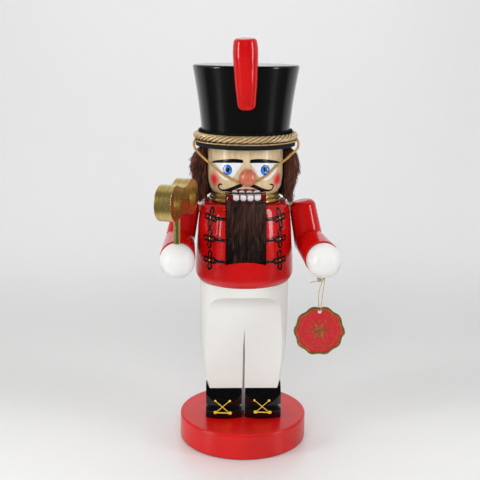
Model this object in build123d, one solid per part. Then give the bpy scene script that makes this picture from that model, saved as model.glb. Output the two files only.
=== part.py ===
from build123d import *
import os
from math import asin, cos, degrees, pi, radians, sin, sqrt, tan

# Wooden nutcracker figure, millimetres, +Z up. The origin is the centre of the underside of the base.
# The figure faces -Y, so its right arm, with the key, is on the -X side.

# ---- driving dimensions ------------------------------------------------------------------------------------

GLUE_GAP = 0.02          # between curved faces that are glued together
SLIDE_GAP = 0.05         # radial, around a dowel, pin or stem

# base
BASE_R = 67.0
BASE_H = 27.0
BASE_ROUND = 2.2

# trousers: one turned block, with the legs parted by a saw kerf
TROUSER_TOP = 175.0
FACET_Y = -11.0          # the milled front face, where it meets the base
FACET_LEAN = 0.134       # how far it comes forward for each millimetre of height
ARCH_START = 146.0       # where the face starts to curve out to the turned surface
ARCH_TOP = 165.5
KERF_TOP = 126.0
KERF_W = 2.2
KERF_TAPER = 30.0        # the length over which the kerf runs out
KERF_DEPTH = 7.0

# shoes
SHOE_IN = 1.6
SHOE_OUT = 39.5
SHOE_TOE_R = 40.0        # the toe's curve in plan
TOE_TOP = 41.0

# torso
TORSO_TOP = 257.6
JAW_W = 39.4
MOUTH_W = 40.5           # the slot that the jaw swings in
LEVER_W = 24.0
LEVER_SLOT_W = 25.4
SLOT_BACK_Y = -7.0
REAR_SLOT_FLOOR = 181.0
REAR_SLOT_ROOF = 252.0

# jaw pivot
PIVOT_Y = -20.0
PIVOT_Z = 232.0
PIN_R = 3.0
PIN_HALF = 38.0
PLUG_REACH = 60.0        # past the jacket, before it is trimmed flush
SWEEP_R = 41.6           # the slot's curved floor
JAW_SWEEP_R = 41.0       # the jaw's lower end
JAW_FRONT_R = 42.5
JAW_BACK_Y = -8.0
JAW_TOP = 269.0

# lever handle: its centre line in the YZ plane
LEVER_THICK = 16.0
HANDLE_THICK = 12.0
TENON_END = (-24.0, 217.0)
ELBOW_AT = (44.0, 196.0)
HANDLE_KNEE_Y = 61.0
HANDLE_ROUND = 2.0
HANDLE_END = (64.0, 54.0)

# collar and head
COLLAR_H = 9.9
HEAD_R = 38.4
HEAD_BOTTOM = TORSO_TOP + COLLAR_H
HEAD_TOP = 313.5
MOUTH_TOP = 269.6
NUT_R = 18.0             # the hollows for the nut, in the jaw and in the palate
NUT_DEPTH = 5.5
NOSE_R = 8.7
NOSE_AT = (1.1, -42.0, 286.2)
NOSE_PEG_R = 2.5

# hair and beard pads
HAIR_INNER_R = 39.0
HAIR_BOTTOM = 258.4
HAIR_TOP = 312.8
HAIR_NAPE_R = 42.3
HAIR_FRONT = 10.0        # degrees in front of the figure's sides
BEARD_W = 39.3
BEARD_R = 49.4
BEARD_BOTTOM = 204.0
BEARD_TOP = 262.6

# hat
BRIM_R = 50.2
BRIM_H = 5.9
PIPING_RING_R = 51.05
PIPING_R = 0.8
ROPE_RING_R = 49.0
ROPE_R = 3.8
BAND_H = 11.0
BAND_R = 44.45           # inside
BAND_THICK = 0.7
HAT_TOP = 393.0
PLUME_BOTTOM = 352.6
PLUME_TOP = 418.8
PLUME_FOOT_Y = -53.5
PLUME_TIP_Y = -60.0
PLUME_FOOT_X = -1.0
PLUME_SIDE_LEAN = 1.9     # degrees, toward the right arm
CORD_R = 1.15

# arms
ARM_TOP = (58.2, 0.0, 256.7)
ELBOW = (66.6, 0.0, 214.8)
ARM_SEAT_R = 46.2        # the coat's radius where the arms are glued to it
ARM_TOP_R = 13.3
ARM_RIM_R = 7.0          # rounds the arm's upper end
ARM_ELBOW_R = 15.1
CUFF_R = 17.5
CUFF_AT = 48.0           # from the elbow to the rim of the cuff
HAND_AT = 55.6           # from the elbow to the centre of the hand
HAND_R = 17.3
FOREARM_DROP = 8.6       # degrees below level
RIGHT_TURN_OUT = 0.6     # degrees
LEFT_TURN_OUT = 10.2     # degrees

# key
KEY_TURN = 71.0          # degrees from the figure's front plane
KEY_LOBE_R = 17.3
KEY_LOBE_AT = 20.8       # from the stem to each lobe's centre
KEY_HOLE_R = 8.7
KEY_THICK = 16.6
KEY_WAIST = 12.6         # half height between the lobes
KEY_Z = 266.8
STEM_R = 3.6
STEM_IN_HAND = 13.0
STEM_IN_BOW = 8.0

# hang tag and its thread
TAG_CENTRE = (73.8, -54.0, 134.0)
TAG_LOBES = 10
TAG_R = 25.6
TAG_VALLEY_R = 24.1
TAG_THICK = 1.6
TAG_HOLE_R = 2.0
TAG_HOLE_UP = 20.0
TAG_PIVOT_DROP = 0.95    # from the top of the hole down to the middle of the thread that carries the tag
TAG_PIVOT_Z = TAG_CENTRE[2] + TAG_HOLE_UP + TAG_HOLE_R - TAG_PIVOT_DROP
THREAD_R = 0.5
THREAD_TOP = 188.0
THREAD_SPREAD = 3.3

# dowels: radius, how deep they go
LEG_DOWEL = (5.0, 15.0, 42.0, 17.0, 10.0)       # radius, z low, z high, x, y
WAIST_DOWEL = (4.0, 164.0, 189.0, 28.0, 8.0)
NECK_DOWEL = (3.0, 248.0, 279.0, 27.0, 6.0)
HAT_DOWEL = (6.0, 298.0, 334.0)
SHOULDER_DOWEL_R = 4.0
SHOULDER_DOWEL_Z = 248.0
SHOULDER_DOWEL_X = (34.0, 56.0)
HAND_DOWEL_R = 3.0


# ---- helpers -----------------------------------------------------------------------------------------------

def vase(bottom, side, top):
    """A solid turned on the lathe: a flat foot, a curve through the side points and a flat top."""
    curve = Spline(*side)
    outline = Curve() + [
        Line((0.0, bottom), (side[0][0], bottom)),
        curve,
        Line((side[-1][0], top), (0.0, top)),
        Line((0.0, top), (0.0, bottom)),
    ]
    return revolve(Plane.XZ * make_face(outline), Axis.Z)


def upright(radius, low, high, x=0.0, y=0.0):
    """A cylinder parallel to Z."""
    return Pos(x, y, (low + high) / 2) * Cylinder(radius, high - low)


def along_x(radius, x_from, x_to, y, z):
    """A cylinder parallel to X."""
    return Pos((x_from + x_to) / 2, y, z) * Rot(0, 90, 0) * Cylinder(radius, x_to - x_from)


def block(x, y, z):
    """A box from its three (low, high) spans."""
    size = [span[1] - span[0] for span in (x, y, z)]
    middle = [(span[1] + span[0]) / 2 for span in (x, y, z)]
    return Pos(*middle) * Box(*size)


def ring(inner, outer, low, high):
    """A plain tube about Z."""
    return upright(outer, low, high) - upright(inner, low - 1, high + 1)


def side_prism(face, half_width):
    """A face drawn as (y, z) and made solid along X, centred on the YZ plane."""
    return extrude(Plane.YZ * face, half_width, both=True)


def rod(start, end, radius):
    """A round bar between two points."""
    start, end = Vector(*start), Vector(*end)
    bar = Cylinder(radius, (end - start).length)
    return Plane(origin=(start + end) / 2, z_dir=end - start) * bar


def widened(shape, radius, gap=GLUE_GAP):
    """A turned shape with a gap added all round, true at the given radius."""
    grow = (radius + gap) / radius
    return scale(shape, (grow, grow, 1.0))


def save(shape, node):
    export_step(shape, f"parts/{node}.step")


# ---- base --------------------------------------------------------------------------------------------------

def dowel_pair(size, gap=0.0):
    radius, low, high, x, y = size
    end_gap = 10 * gap
    return [upright(radius + gap, low - end_gap, high + end_gap, side * x, y) for side in (-1, 1)]


def base_disc():
    disc = upright(BASE_R, 0, BASE_H)
    disc = fillet(disc.edges().filter_by(GeomType.CIRCLE), BASE_ROUND)
    for hole in dowel_pair(LEG_DOWEL, SLIDE_GAP):
        disc -= hole
    return disc


# ---- trousers and shoes ------------------------------------------------------------------------------------

TROUSER_SIDE = [(34.7, BASE_H), (39.9, 65.0), (44.0, 94.0), (45.7, 128.0), (46.3, TROUSER_TOP)]


def facet_y(z):
    """Where the milled front face of the legs stands at a height."""
    return FACET_Y - FACET_LEAN * (z - BASE_H)


def leg_barrel():
    """The turned block with its front milled away below the arch."""
    barrel = vase(BASE_H, TROUSER_SIDE, TROUSER_TOP)
    foot = (facet_y(BASE_H - 5), BASE_H - 5)
    bend = (facet_y(ARCH_START), ARCH_START)
    tip = (-46.4, ARCH_TOP)
    front = [
        Line(foot, bend),
        TangentArc(bend, tip, tangent=(-FACET_LEAN, 1.0)),
        Line(tip, (-60.0, ARCH_TOP)),
        Line((-60.0, ARCH_TOP), (-60.0, foot[1])),
        Line((-60.0, foot[1]), foot),
    ]
    return barrel - side_prism(make_face(Curve() + front), 60)


def trouser_block():
    body = leg_barrel()
    half = KERF_W / 2
    shoulder = KERF_TOP - KERF_TAPER
    foot = BASE_H - 1
    wedge = Polyline((-half, foot), (-half, shoulder), (0, KERF_TOP), (half, shoulder), (half, foot),
                     close=True)
    front = Polyline((facet_y(foot) + KERF_DEPTH, foot), (facet_y(KERF_TOP) + KERF_DEPTH, KERF_TOP),
                     (-60, KERF_TOP), (-60, foot), close=True)
    body -= extrude(Plane.XZ * make_face(wedge), 60) & side_prism(make_face(front), KERF_W)
    for hole in dowel_pair(LEG_DOWEL, SLIDE_GAP) + dowel_pair(WAIST_DOWEL, SLIDE_GAP):
        body -= hole
    return body


def left_shoe():
    """The shoe on +X: a milled instep strip with a toe that is round in plan."""
    back_low = (-6.0, BASE_H)
    back_high = (-8.6, 63.5)
    toe_top = (-24.2, TOE_TOP)
    toe_foot = (-24.9, BASE_H)
    outline = [
        Line(back_low, toe_foot),
        ThreePointArc(toe_foot, (-26.6, 33.5), toe_top),
        ThreePointArc(toe_top, (-17.5, 54.6), back_high),
        Line(back_high, back_low),
    ]
    middle = (SHOE_IN + SHOE_OUT) / 2
    strip = Pos(middle, 0, 0) * side_prism(make_face(Curve() + outline), (SHOE_OUT - SHOE_IN) / 2)
    toe_centre = -26.6 + SHOE_TOE_R
    plan = [
        Line((0, BASE_H - 1), (SHOE_TOE_R - 2.2, BASE_H - 1)),
        Line((SHOE_TOE_R - 2.2, BASE_H - 1), (SHOE_TOE_R - 1.6, BASE_H)),
        ThreePointArc((SHOE_TOE_R - 1.6, BASE_H), (SHOE_TOE_R, 33.5), (SHOE_TOE_R - 2.4, TOE_TOP)),
        Line((SHOE_TOE_R - 2.4, TOE_TOP), (SHOE_TOE_R - 2.4, 70)),
        Line((SHOE_TOE_R - 2.4, 70), (0, 70)),
        Line((0, 70), (0, BASE_H - 1)),
    ]
    toe = Pos(middle, toe_centre, 0) * revolve(Plane.XZ * make_face(Curve() + plan), Axis.Z)
    return (strip & toe) - leg_barrel()


# ---- torso -------------------------------------------------------------------------------------------------

def torso_envelope():
    side = [(45.8, TROUSER_TOP), (49.9, 181.0), (50.5, 189.0), (48.9, 215.0), (46.2, 246.0), (45.0, 252.0),
            (43.2, 255.9), (40.2, TORSO_TOP)]
    return vase(TROUSER_TOP, side, TORSO_TOP)


def jaw_slot():
    """The space the jaw swings in: upright above its pin, and round about the pin below it."""
    half = MOUTH_W / 2
    upper = block((-half, half), (-70, SLOT_BACK_Y), (PIVOT_Z + 4, MOUTH_TOP))
    sweep = along_x(SWEEP_R, -half, half, PIVOT_Y, PIVOT_Z)
    low = block((-half, half), (-70, 30), (PIVOT_Z - SWEEP_R - 1, PIVOT_Z + 4))
    return upper + (sweep & low)


def pin_hole():
    return along_x(PIN_R + SLIDE_GAP, -PLUG_REACH, PIN_HALF + 0.5, PIVOT_Y, PIVOT_Z)


def shoulder_dowel(side, gap=0.0):
    end_gap = 10 * gap
    ends = sorted([side * (SHOULDER_DOWEL_X[0] - end_gap), side * (SHOULDER_DOWEL_X[1] + end_gap)])
    return along_x(SHOULDER_DOWEL_R + gap, ends[0], ends[1], 0, SHOULDER_DOWEL_Z)


def torso():
    body = torso_envelope() - jaw_slot()
    half = LEVER_SLOT_W / 2
    body -= block((-half, half), (-30, 70), (REAR_SLOT_FLOOR, REAR_SLOT_ROOF))
    body -= pin_hole()
    for side in (-1, 1):
        body -= shoulder_dowel(side, SLIDE_GAP)
    for hole in dowel_pair(WAIST_DOWEL, SLIDE_GAP) + dowel_pair(NECK_DOWEL, SLIDE_GAP):
        body -= hole
    return body


def lever_pin():
    return along_x(PIN_R, -PIN_HALF, PIN_HALF, PIVOT_Y, PIVOT_Z)


def pin_plug():
    """The plug that closes the pin's hole, sanded flush with the jacket."""
    plug = along_x(PIN_R, -PLUG_REACH, -PIN_HALF - 0.3, PIVOT_Y, PIVOT_Z)
    return plug & torso_envelope()


# ---- jaw and lever -----------------------------------------------------------------------------------------

def lever_direction():
    """Unit vectors along and across the lever's arm, as (y, z)."""
    run = ELBOW_AT[0] - TENON_END[0]
    rise = ELBOW_AT[1] - TENON_END[1]
    length = sqrt(run * run + rise * rise)
    along = (run / length, rise / length)
    return along, (-along[1], along[0])


def offset_point(point, across, distance):
    return (point[0] + across[0] * distance, point[1] + across[1] * distance)


def lever_handle():
    """The wooden lever: a straight arm through the body and a handle that hangs behind the coat."""
    along, across = lever_direction()
    half = LEVER_THICK / 2
    hand = HANDLE_THICK / 2
    end_low = offset_point(TENON_END, across, -half)
    end_high = offset_point(TENON_END, across, half)
    slope = along[1] / along[0]
    knee_out = (HANDLE_KNEE_Y + hand, end_high[1] + slope * (HANDLE_KNEE_Y + hand - end_high[0]))
    knee_in = (HANDLE_KNEE_Y - hand, end_low[1] + slope * (HANDLE_KNEE_Y - hand - end_low[0]))
    tip_out = (HANDLE_END[0] + hand, HANDLE_END[1])
    tip_in = (HANDLE_END[0] - hand, HANDLE_END[1])
    face = make_face(Polyline(end_low, end_high, knee_out, tip_out, tip_in, knee_in, close=True))
    face = fillet(face.vertices().filter_by(lambda v: v.Y < HANDLE_END[1] + 1), hand - 0.1)
    face = fillet(face.vertices().sort_by_distance((knee_out[0], knee_out[1], 0))[0], 24.0)
    face = fillet(face.vertices().sort_by_distance((knee_in[0], knee_in[1], 0))[0], 10.0)
    lever = side_prism(face, LEVER_W / 2)
    long_edges = lever.edges().filter_by(lambda e: e.center().Y > 40 and abs(e.center().X) > 11)
    return fillet(long_edges, HANDLE_ROUND)


def tenon_space():
    along, across = lever_direction()
    half = LEVER_THICK / 2
    start = TENON_END
    end = offset_point(start, along, 30)
    corners = [offset_point(start, across, -half), offset_point(start, across, half),
               offset_point(end, across, half), offset_point(end, across, -half)]
    return side_prism(make_face(Polyline(*corners, close=True)), LEVER_W / 2)


def nut_hollow(side):
    """The dish for the nut, in the jaw's top (side -1) or in the palate (side 1)."""
    face = JAW_TOP if side < 0 else MOUTH_TOP
    return Pos(0, PIVOT_Y, face + side * (NUT_DEPTH - NUT_R)) * Sphere(NUT_R)


def jaw_block():
    half = JAW_W / 2
    front = upright(JAW_FRONT_R, 190, JAW_TOP)
    body = front & block((-half, half), (-60, JAW_BACK_Y), (195, JAW_TOP))
    sweep = along_x(JAW_SWEEP_R, -half - 1, half + 1, PIVOT_Y, PIVOT_Z)
    upper = block((-half - 1, half + 1), (-60, JAW_BACK_Y + 1), (PIVOT_Z, JAW_TOP + 1))
    body = body & (sweep + upper)
    back_slope = Polyline((PIVOT_Y, JAW_TOP), (JAW_BACK_Y + 1, JAW_TOP - 3.0), (JAW_BACK_Y + 1, JAW_TOP + 1),
                          (PIVOT_Y, JAW_TOP + 1), close=True)
    body -= side_prism(make_face(back_slope), half + 1)
    body -= nut_hollow(-1)
    body -= along_x(PIN_R + SLIDE_GAP, -half - 1, half + 1, PIVOT_Y, PIVOT_Z)
    body -= tenon_space()
    return body


def beard():
    half = BEARD_W / 2
    shell = ring(JAW_FRONT_R + GLUE_GAP, BEARD_R, BEARD_BOTTOM, BEARD_TOP)
    pad = shell & block((-half, half), (-60, -20), (BEARD_BOTTOM, BEARD_TOP))
    reach = along_x(JAW_SWEEP_R, -half - 1, half + 1, PIVOT_Y, PIVOT_Z)
    above = block((-half - 1, half + 1), (-60, -20), (PIVOT_Z, BEARD_TOP + 1))
    return pad & (reach + above)


# ---- collar, head and face pieces --------------------------------------------------------------------------

def collar_ring():
    """Two gilded ridges between the coat and the head, open at the front for the jaw."""
    base, top = TORSO_TOP, HEAD_BOTTOM
    outline = [
        Line((0, base), (35.2, base)),
        ThreePointArc((35.2, base), (36.3, base + 2.4), (34.9, base + 4.9)),
        ThreePointArc((34.9, base + 4.9), (35.0, base + 7.4), (33.6, top)),
        Line((33.6, top), (0, top)),
        Line((0, top), (0, base)),
    ]
    body = revolve(Plane.XZ * make_face(Curve() + outline), Axis.Z)
    body -= jaw_slot()
    for hole in dowel_pair(NECK_DOWEL, SLIDE_GAP):
        body -= hole
    return body


def head_envelope():
    side = [(33.4, HEAD_BOTTOM), (36.2, 271.6), (37.7, 278.0), (HEAD_R, 290.0), (HEAD_R, HEAD_TOP)]
    outline = [
        Line((0, HEAD_BOTTOM), side[0]),
        Spline(*side[:4], tangents=((0.75, 1.0), (0.0, 1.0))),
        Line(side[3], side[4]),
        Line(side[4], (0, HEAD_TOP)),
        Line((0, HEAD_TOP), (0, HEAD_BOTTOM)),
    ]
    return revolve(Plane.XZ * make_face(Curve() + outline), Axis.Z)


def nose_peg(gap=0.0):
    x, y, z = NOSE_AT
    return Pos(x, -36.0, z) * Rot(90, 0, 0) * Cylinder(NOSE_PEG_R + gap, 12.0 + 10 * gap)


def head():
    body = head_envelope() - jaw_slot()
    body -= nut_hollow(1)
    body -= nose_peg(SLIDE_GAP)
    body -= upright(HAT_DOWEL[0] + SLIDE_GAP, HAT_DOWEL[1] - 0.5, HEAD_TOP + 1)
    for hole in dowel_pair(NECK_DOWEL, SLIDE_GAP):
        body -= hole
    return body


def nose_ball():
    x, y, z = NOSE_AT
    ball = Pos(x, y, z) * Sphere(NOSE_R)
    ball -= upright(HEAD_R + GLUE_GAP, z - 20, z + 20)
    return ball + nose_peg()


def hair_wig():
    """The wig's bulk: a thick shell round the sides and back, drawn in at the brim and the nape."""
    outline = [
        Line((HAIR_INNER_R, HAIR_BOTTOM), (HAIR_INNER_R, HAIR_TOP)),
        Line((HAIR_INNER_R, HAIR_TOP), (46.5, HAIR_TOP)),
        Spline((46.5, HAIR_TOP), (52.5, 303.0), (53.6, 294.0), (50.8, 280.0), (46.0, 268.5),
               (HAIR_NAPE_R, HAIR_BOTTOM)),
        Line((HAIR_NAPE_R, HAIR_BOTTOM), (HAIR_INNER_R, HAIR_BOTTOM)),
    ]
    face = Plane.XZ * make_face(Curve() + outline)
    shell = revolve(face, Axis.Z)
    reach = 80.0
    front = -reach * tan(radians(HAIR_FRONT))
    plan = Polyline((-reach, front), (0, 0), (reach, front), (reach, reach), (-reach, reach), close=True)
    return shell & (Pos(0, 0, HAIR_BOTTOM - 1) * extrude(make_face(plan), HAIR_TOP - HAIR_BOTTOM + 2))


# ---- hat ---------------------------------------------------------------------------------------------------

BRIM_TOP = HEAD_TOP + BRIM_H


def hat_brim():
    body = upright(BRIM_R, HEAD_TOP, BRIM_TOP)
    body = fillet(body.edges().filter_by(GeomType.CIRCLE), 0.8)
    return body - upright(HAT_DOWEL[0] + SLIDE_GAP, HEAD_TOP - 1, BRIM_TOP + 1)


def brim_piping():
    return Pos(0, 0, BRIM_TOP - 0.6) * Torus(PIPING_RING_R, PIPING_R)


def crown_envelope():
    side = [(43.3, BRIM_TOP), (44.7, 334.0), (47.5, 358.0), (51.0, 380.0), (52.9, HAT_TOP - 2.4)]
    outline = [
        Line((0, BRIM_TOP), side[0]),
        Spline(*side),
        ThreePointArc(side[-1], (52.4, HAT_TOP - 0.6), (50.6, HAT_TOP)),
        Line((50.6, HAT_TOP), (0, HAT_TOP)),
        Line((0, HAT_TOP), (0, BRIM_TOP)),
    ]
    return revolve(Plane.XZ * make_face(Curve() + outline), Axis.Z)


def hat_crown():
    return crown_envelope() - upright(HAT_DOWEL[0] + SLIDE_GAP, BRIM_TOP - 1, HAT_DOWEL[2] + 0.5)


def hat_band():
    """A woven band wound round the foot of the crown, behind the rope."""
    return ring(BAND_R, BAND_R + BAND_THICK, BRIM_TOP, BRIM_TOP + BAND_H)


def hat_rope():
    return Pos(0, 0, BRIM_TOP + ROPE_R + 0.3) * Torus(ROPE_RING_R, ROPE_R)


def plume():
    """A turned club, notched at the back where it sits on the crown, leaning with the hat's flare."""
    height = PLUME_TOP - PLUME_BOTTOM
    outline = [
        Line((0, 0), (3.0, 0)),
        Spline((3.0, 0), (7.3, 1.6), (9.0, 9.0), (10.2, 20.0), (11.2, 38.0), (11.8, 56.0),
               (11.0, height - 3.4)),
        ThreePointArc((11.0, height - 3.4), (9.9, height - 0.9), (7.6, height)),
        Line((7.6, height), (0, height)),
        Line((0, height), (0, 0)),
    ]
    club = revolve(Plane.XZ * make_face(Curve() + outline), Axis.Z)
    lean = degrees(asin((PLUME_FOOT_Y - PLUME_TIP_Y) / height))
    club = Pos(PLUME_FOOT_X, PLUME_FOOT_Y, PLUME_BOTTOM) * Rot(lean, -PLUME_SIDE_LEAN, 0) * club
    seat = widened(crown_envelope(), BRIM_R, SLIDE_GAP)
    return club - seat - Pos(0, 0, SLIDE_GAP) * seat


def chin_cord(side):
    """A gold cord from the brim, tight over the cheek, to the side of the nose."""
    path = Spline((side * 50.0, -14.6, 312.0), (side * 41.5, -21.0, 303.8), (side * 30.5, -28.4, 296.4),
                  (side * 20.0, -35.2, 289.6), (side * 11.2, -38.6, 283.2))
    profile = Plane(origin=path @ 0, z_dir=path % 0) * Circle(CORD_R)
    return sweep(profile, path)


# ---- arms --------------------------------------------------------------------------------------------------

def unit(vector):
    return vector / vector.length


def forearm_direction(side, turn_out):
    """Unit vector from the elbow to the hand."""
    turn, drop = radians(turn_out), radians(FOREARM_DROP)
    return Vector(side * sin(turn) * cos(drop), -cos(turn) * cos(drop), -sin(drop))


def elbow_point(side):
    return Vector(side * ELBOW[0], ELBOW[1], ELBOW[2])


def hand_centre(side, turn_out):
    return elbow_point(side) + forearm_direction(side, turn_out) * HAND_AT


def elbow_half_space(side, turn_out, keep_upper):
    """A large block on one side of the elbow's mitre."""
    top = Vector(side * ARM_TOP[0], ARM_TOP[1], ARM_TOP[2])
    down = unit(elbow_point(side) - top)
    normal = unit(down + forearm_direction(side, turn_out))
    if keep_upper:
        normal = normal * -1
    mitre = Plane(origin=elbow_point(side), z_dir=normal)
    return mitre * (Pos(0, 0, 60) * Box(160, 160, 120))


def upper_arm(side, turn_out):
    top = Vector(side * ARM_TOP[0], ARM_TOP[1], ARM_TOP[2])
    elbow = elbow_point(side)
    down = unit(elbow - top)
    length = (elbow - top).length
    past = 22.0
    grow = (ARM_ELBOW_R - ARM_TOP_R) / length
    cone = Plane(origin=top, z_dir=down) * (Pos(0, 0, (length + past) / 2) * Cone(
        ARM_TOP_R, ARM_TOP_R + grow * (length + past), length + past))
    rim = cone.edges().filter_by(GeomType.CIRCLE).sort_by(Axis.Z)[-1]
    arm = fillet(rim, ARM_RIM_R) & elbow_half_space(side, turn_out, True)
    arm -= widened(torso_envelope(), ARM_SEAT_R)
    return arm - shoulder_dowel(side, SLIDE_GAP)


def forearm(side, turn_out):
    elbow = elbow_point(side)
    ahead = forearm_direction(side, turn_out)
    back = 22.0
    grow = (CUFF_R - ARM_ELBOW_R) / CUFF_AT
    cone = Plane(origin=elbow - ahead * back, z_dir=ahead) * (Pos(0, 0, (CUFF_AT + back) / 2) * Cone(
        ARM_ELBOW_R - grow * back, CUFF_R, CUFF_AT + back))
    arm = cone & elbow_half_space(side, turn_out, False)
    centre = hand_centre(side, turn_out)
    arm -= Pos(*centre) * Sphere(HAND_R + GLUE_GAP)
    return arm - hand_dowel(side, turn_out, SLIDE_GAP)


def hand_dowel(side, turn_out, gap=0.0):
    ahead = forearm_direction(side, turn_out)
    centre = hand_centre(side, turn_out)
    in_cuff = centre - ahead * (HAND_R + 12 + 10 * gap)
    in_hand = centre - ahead * (HAND_R - 10 - 10 * gap)
    return rod(in_cuff, in_hand, HAND_DOWEL_R + gap)


def hand(side, turn_out):
    centre = hand_centre(side, turn_out)
    return Pos(*centre) * Sphere(HAND_R) - hand_dowel(side, turn_out, SLIDE_GAP)


# ---- key ---------------------------------------------------------------------------------------------------

RIGHT_HAND = hand_centre(-1, RIGHT_TURN_OUT)
STEM_LOW = RIGHT_HAND.Z + HAND_R - STEM_IN_HAND
STEM_HIGH = KEY_Z - KEY_WAIST + STEM_IN_BOW


def key_stem():
    stem = upright(STEM_R, STEM_LOW, STEM_HIGH, RIGHT_HAND.X, RIGHT_HAND.Y)
    return fillet(stem.edges().filter_by(GeomType.CIRCLE), 0.4)


def right_hand():
    socket = upright(STEM_R + SLIDE_GAP, STEM_LOW - 0.3, STEM_LOW + 30, RIGHT_HAND.X, RIGHT_HAND.Y)
    return hand(-1, RIGHT_TURN_OUT) - socket


def key_bow():
    """Two lobes with round holes and a waist that runs smoothly into them, as on a clock key."""
    lobe, reach, neck = KEY_LOBE_R, KEY_LOBE_AT, KEY_WAIST
    neck_r = (reach * reach + neck * neck - lobe * lobe) / (2 * (lobe - neck))
    slope = sqrt(reach * reach + (neck + neck_r) ** 2)
    join_x = reach - lobe * reach / slope
    join_z = lobe * (neck + neck_r) / slope
    waist = [
        ThreePointArc((-join_x, join_z), (0, neck), (join_x, join_z)),
        ThreePointArc((join_x, join_z), (reach + lobe, 0), (join_x, -join_z)),
        ThreePointArc((join_x, -join_z), (0, -neck), (-join_x, -join_z)),
        ThreePointArc((-join_x, -join_z), (-reach - lobe, 0), (-join_x, join_z)),
    ]
    bow = extrude(Plane.XZ * make_face(Curve() + waist), KEY_THICK / 2, both=True)
    rims = bow.edges().filter_by(lambda e: abs(abs(e.center().Y) - KEY_THICK / 2) < 0.01)
    bow = fillet(rims, 0.6)
    for side in (-1, 1):
        bow -= Pos(side * reach, 0, 0) * Rot(90, 0, 0) * Cylinder(KEY_HOLE_R, KEY_THICK + 2)
    bow = Pos(RIGHT_HAND.X, RIGHT_HAND.Y, KEY_Z) * Rot(0, 0, KEY_TURN) * bow
    return bow - upright(STEM_R, STEM_LOW, STEM_HIGH, RIGHT_HAND.X, RIGHT_HAND.Y)


# ---- hang tag ----------------------------------------------------------------------------------------------

def hang_tag():
    """A round card with a softly waved edge, a valley of it over the hole."""
    edge = []
    for i in range(2 * TAG_LOBES):
        angle = pi * i / TAG_LOBES
        radius = TAG_R if i % 2 == 0 else TAG_VALLEY_R
        edge.append((radius * cos(angle), radius * sin(angle)))
    outline = make_face(Spline(*edge, periodic=True))
    outline -= Pos(0, TAG_HOLE_UP) * Circle(TAG_HOLE_R)
    card = extrude(Plane.XZ * outline, TAG_THICK / 2, both=True)
    return Pos(*TAG_CENTRE) * card


def tag_thread():
    """A doubled thread from the hand, through the tag's hole, which hangs from it."""
    x, y = TAG_CENTRE[0], TAG_CENTRE[1]
    lap = TAG_THICK / 2 + 1.1
    turn_z = TAG_PIVOT_Z + lap
    points = []
    rise = THREAD_TOP - turn_z
    for share in (1.0, 0.5):
        points.append((x + share * THREAD_SPREAD, y - lap + share * 0.9, turn_z + share * rise))
    for step in range(5):
        angle = pi * step / 4
        points.append((x, y - lap * cos(angle), turn_z - lap * sin(angle)))
    for share in (0.5, 1.0):
        points.append((x - share * THREAD_SPREAD, y + lap - share * 0.9, turn_z + share * rise))
    path = Spline(*points)
    profile = Plane(origin=path @ 0, z_dir=path % 0) * Circle(THREAD_R)
    return sweep(profile, path)


# ---- write every piece -------------------------------------------------------------------------------------

def main():
    os.makedirs("parts", exist_ok=True)
    save(base_disc(), "base_disc")
    save(Compound(dowel_pair(LEG_DOWEL)), "leg_dowels")
    save(trouser_block(), "trouser_block")
    shoe = left_shoe()
    save(shoe, "left_shoe")
    save(mirror(shoe, Plane.YZ), "right_shoe")
    save(Compound(dowel_pair(WAIST_DOWEL)), "waist_dowels")
    save(torso(), "torso")
    save(lever_pin(), "lever_pin")
    save(pin_plug(), "pin_plug")
    save(jaw_block(), "jaw_block")
    save(lever_handle(), "lever_handle")
    save(beard(), "beard")
    save(collar_ring(), "collar_ring")
    save(Compound(dowel_pair(NECK_DOWEL)), "neck_dowels")
    save(head(), "head")
    save(nose_ball(), "nose_ball")
    save(hair_wig(), "hair_wig")
    save(upright(*HAT_DOWEL), "hat_dowel")
    save(hat_brim(), "hat_brim")
    save(brim_piping(), "brim_piping")
    save(hat_crown(), "hat_crown")
    save(hat_band(), "hat_band")
    save(hat_rope(), "hat_rope")
    save(plume(), "plume")
    save(Compound([chin_cord(-1), chin_cord(1)]), "chin_cord")
    for side, turn_out, name in ((-1, RIGHT_TURN_OUT, "right"), (1, LEFT_TURN_OUT, "left")):
        save(upper_arm(side, turn_out), f"{name}_upper_arm")
        save(forearm(side, turn_out), f"{name}_forearm")
    save(right_hand(), "right_hand")
    save(hand(1, LEFT_TURN_OUT), "left_hand")
    save(Compound([shoulder_dowel(side) for side in (-1, 1)]), "shoulder_dowels")
    save(Compound([hand_dowel(-1, RIGHT_TURN_OUT), hand_dowel(1, LEFT_TURN_OUT)]), "hand_dowels")
    save(key_stem(), "key_stem")
    save(key_bow(), "key_bow")
    save(hang_tag(), "hang_tag")
    save(tag_thread(), "tag_thread")


main()
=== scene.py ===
import math

import bpy
import numpy as np
from mathutils import Matrix, Vector, noise
from mathutils.bvhtree import BVHTree
from mathutils.geometry import delaunay_2d_cdt


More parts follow.
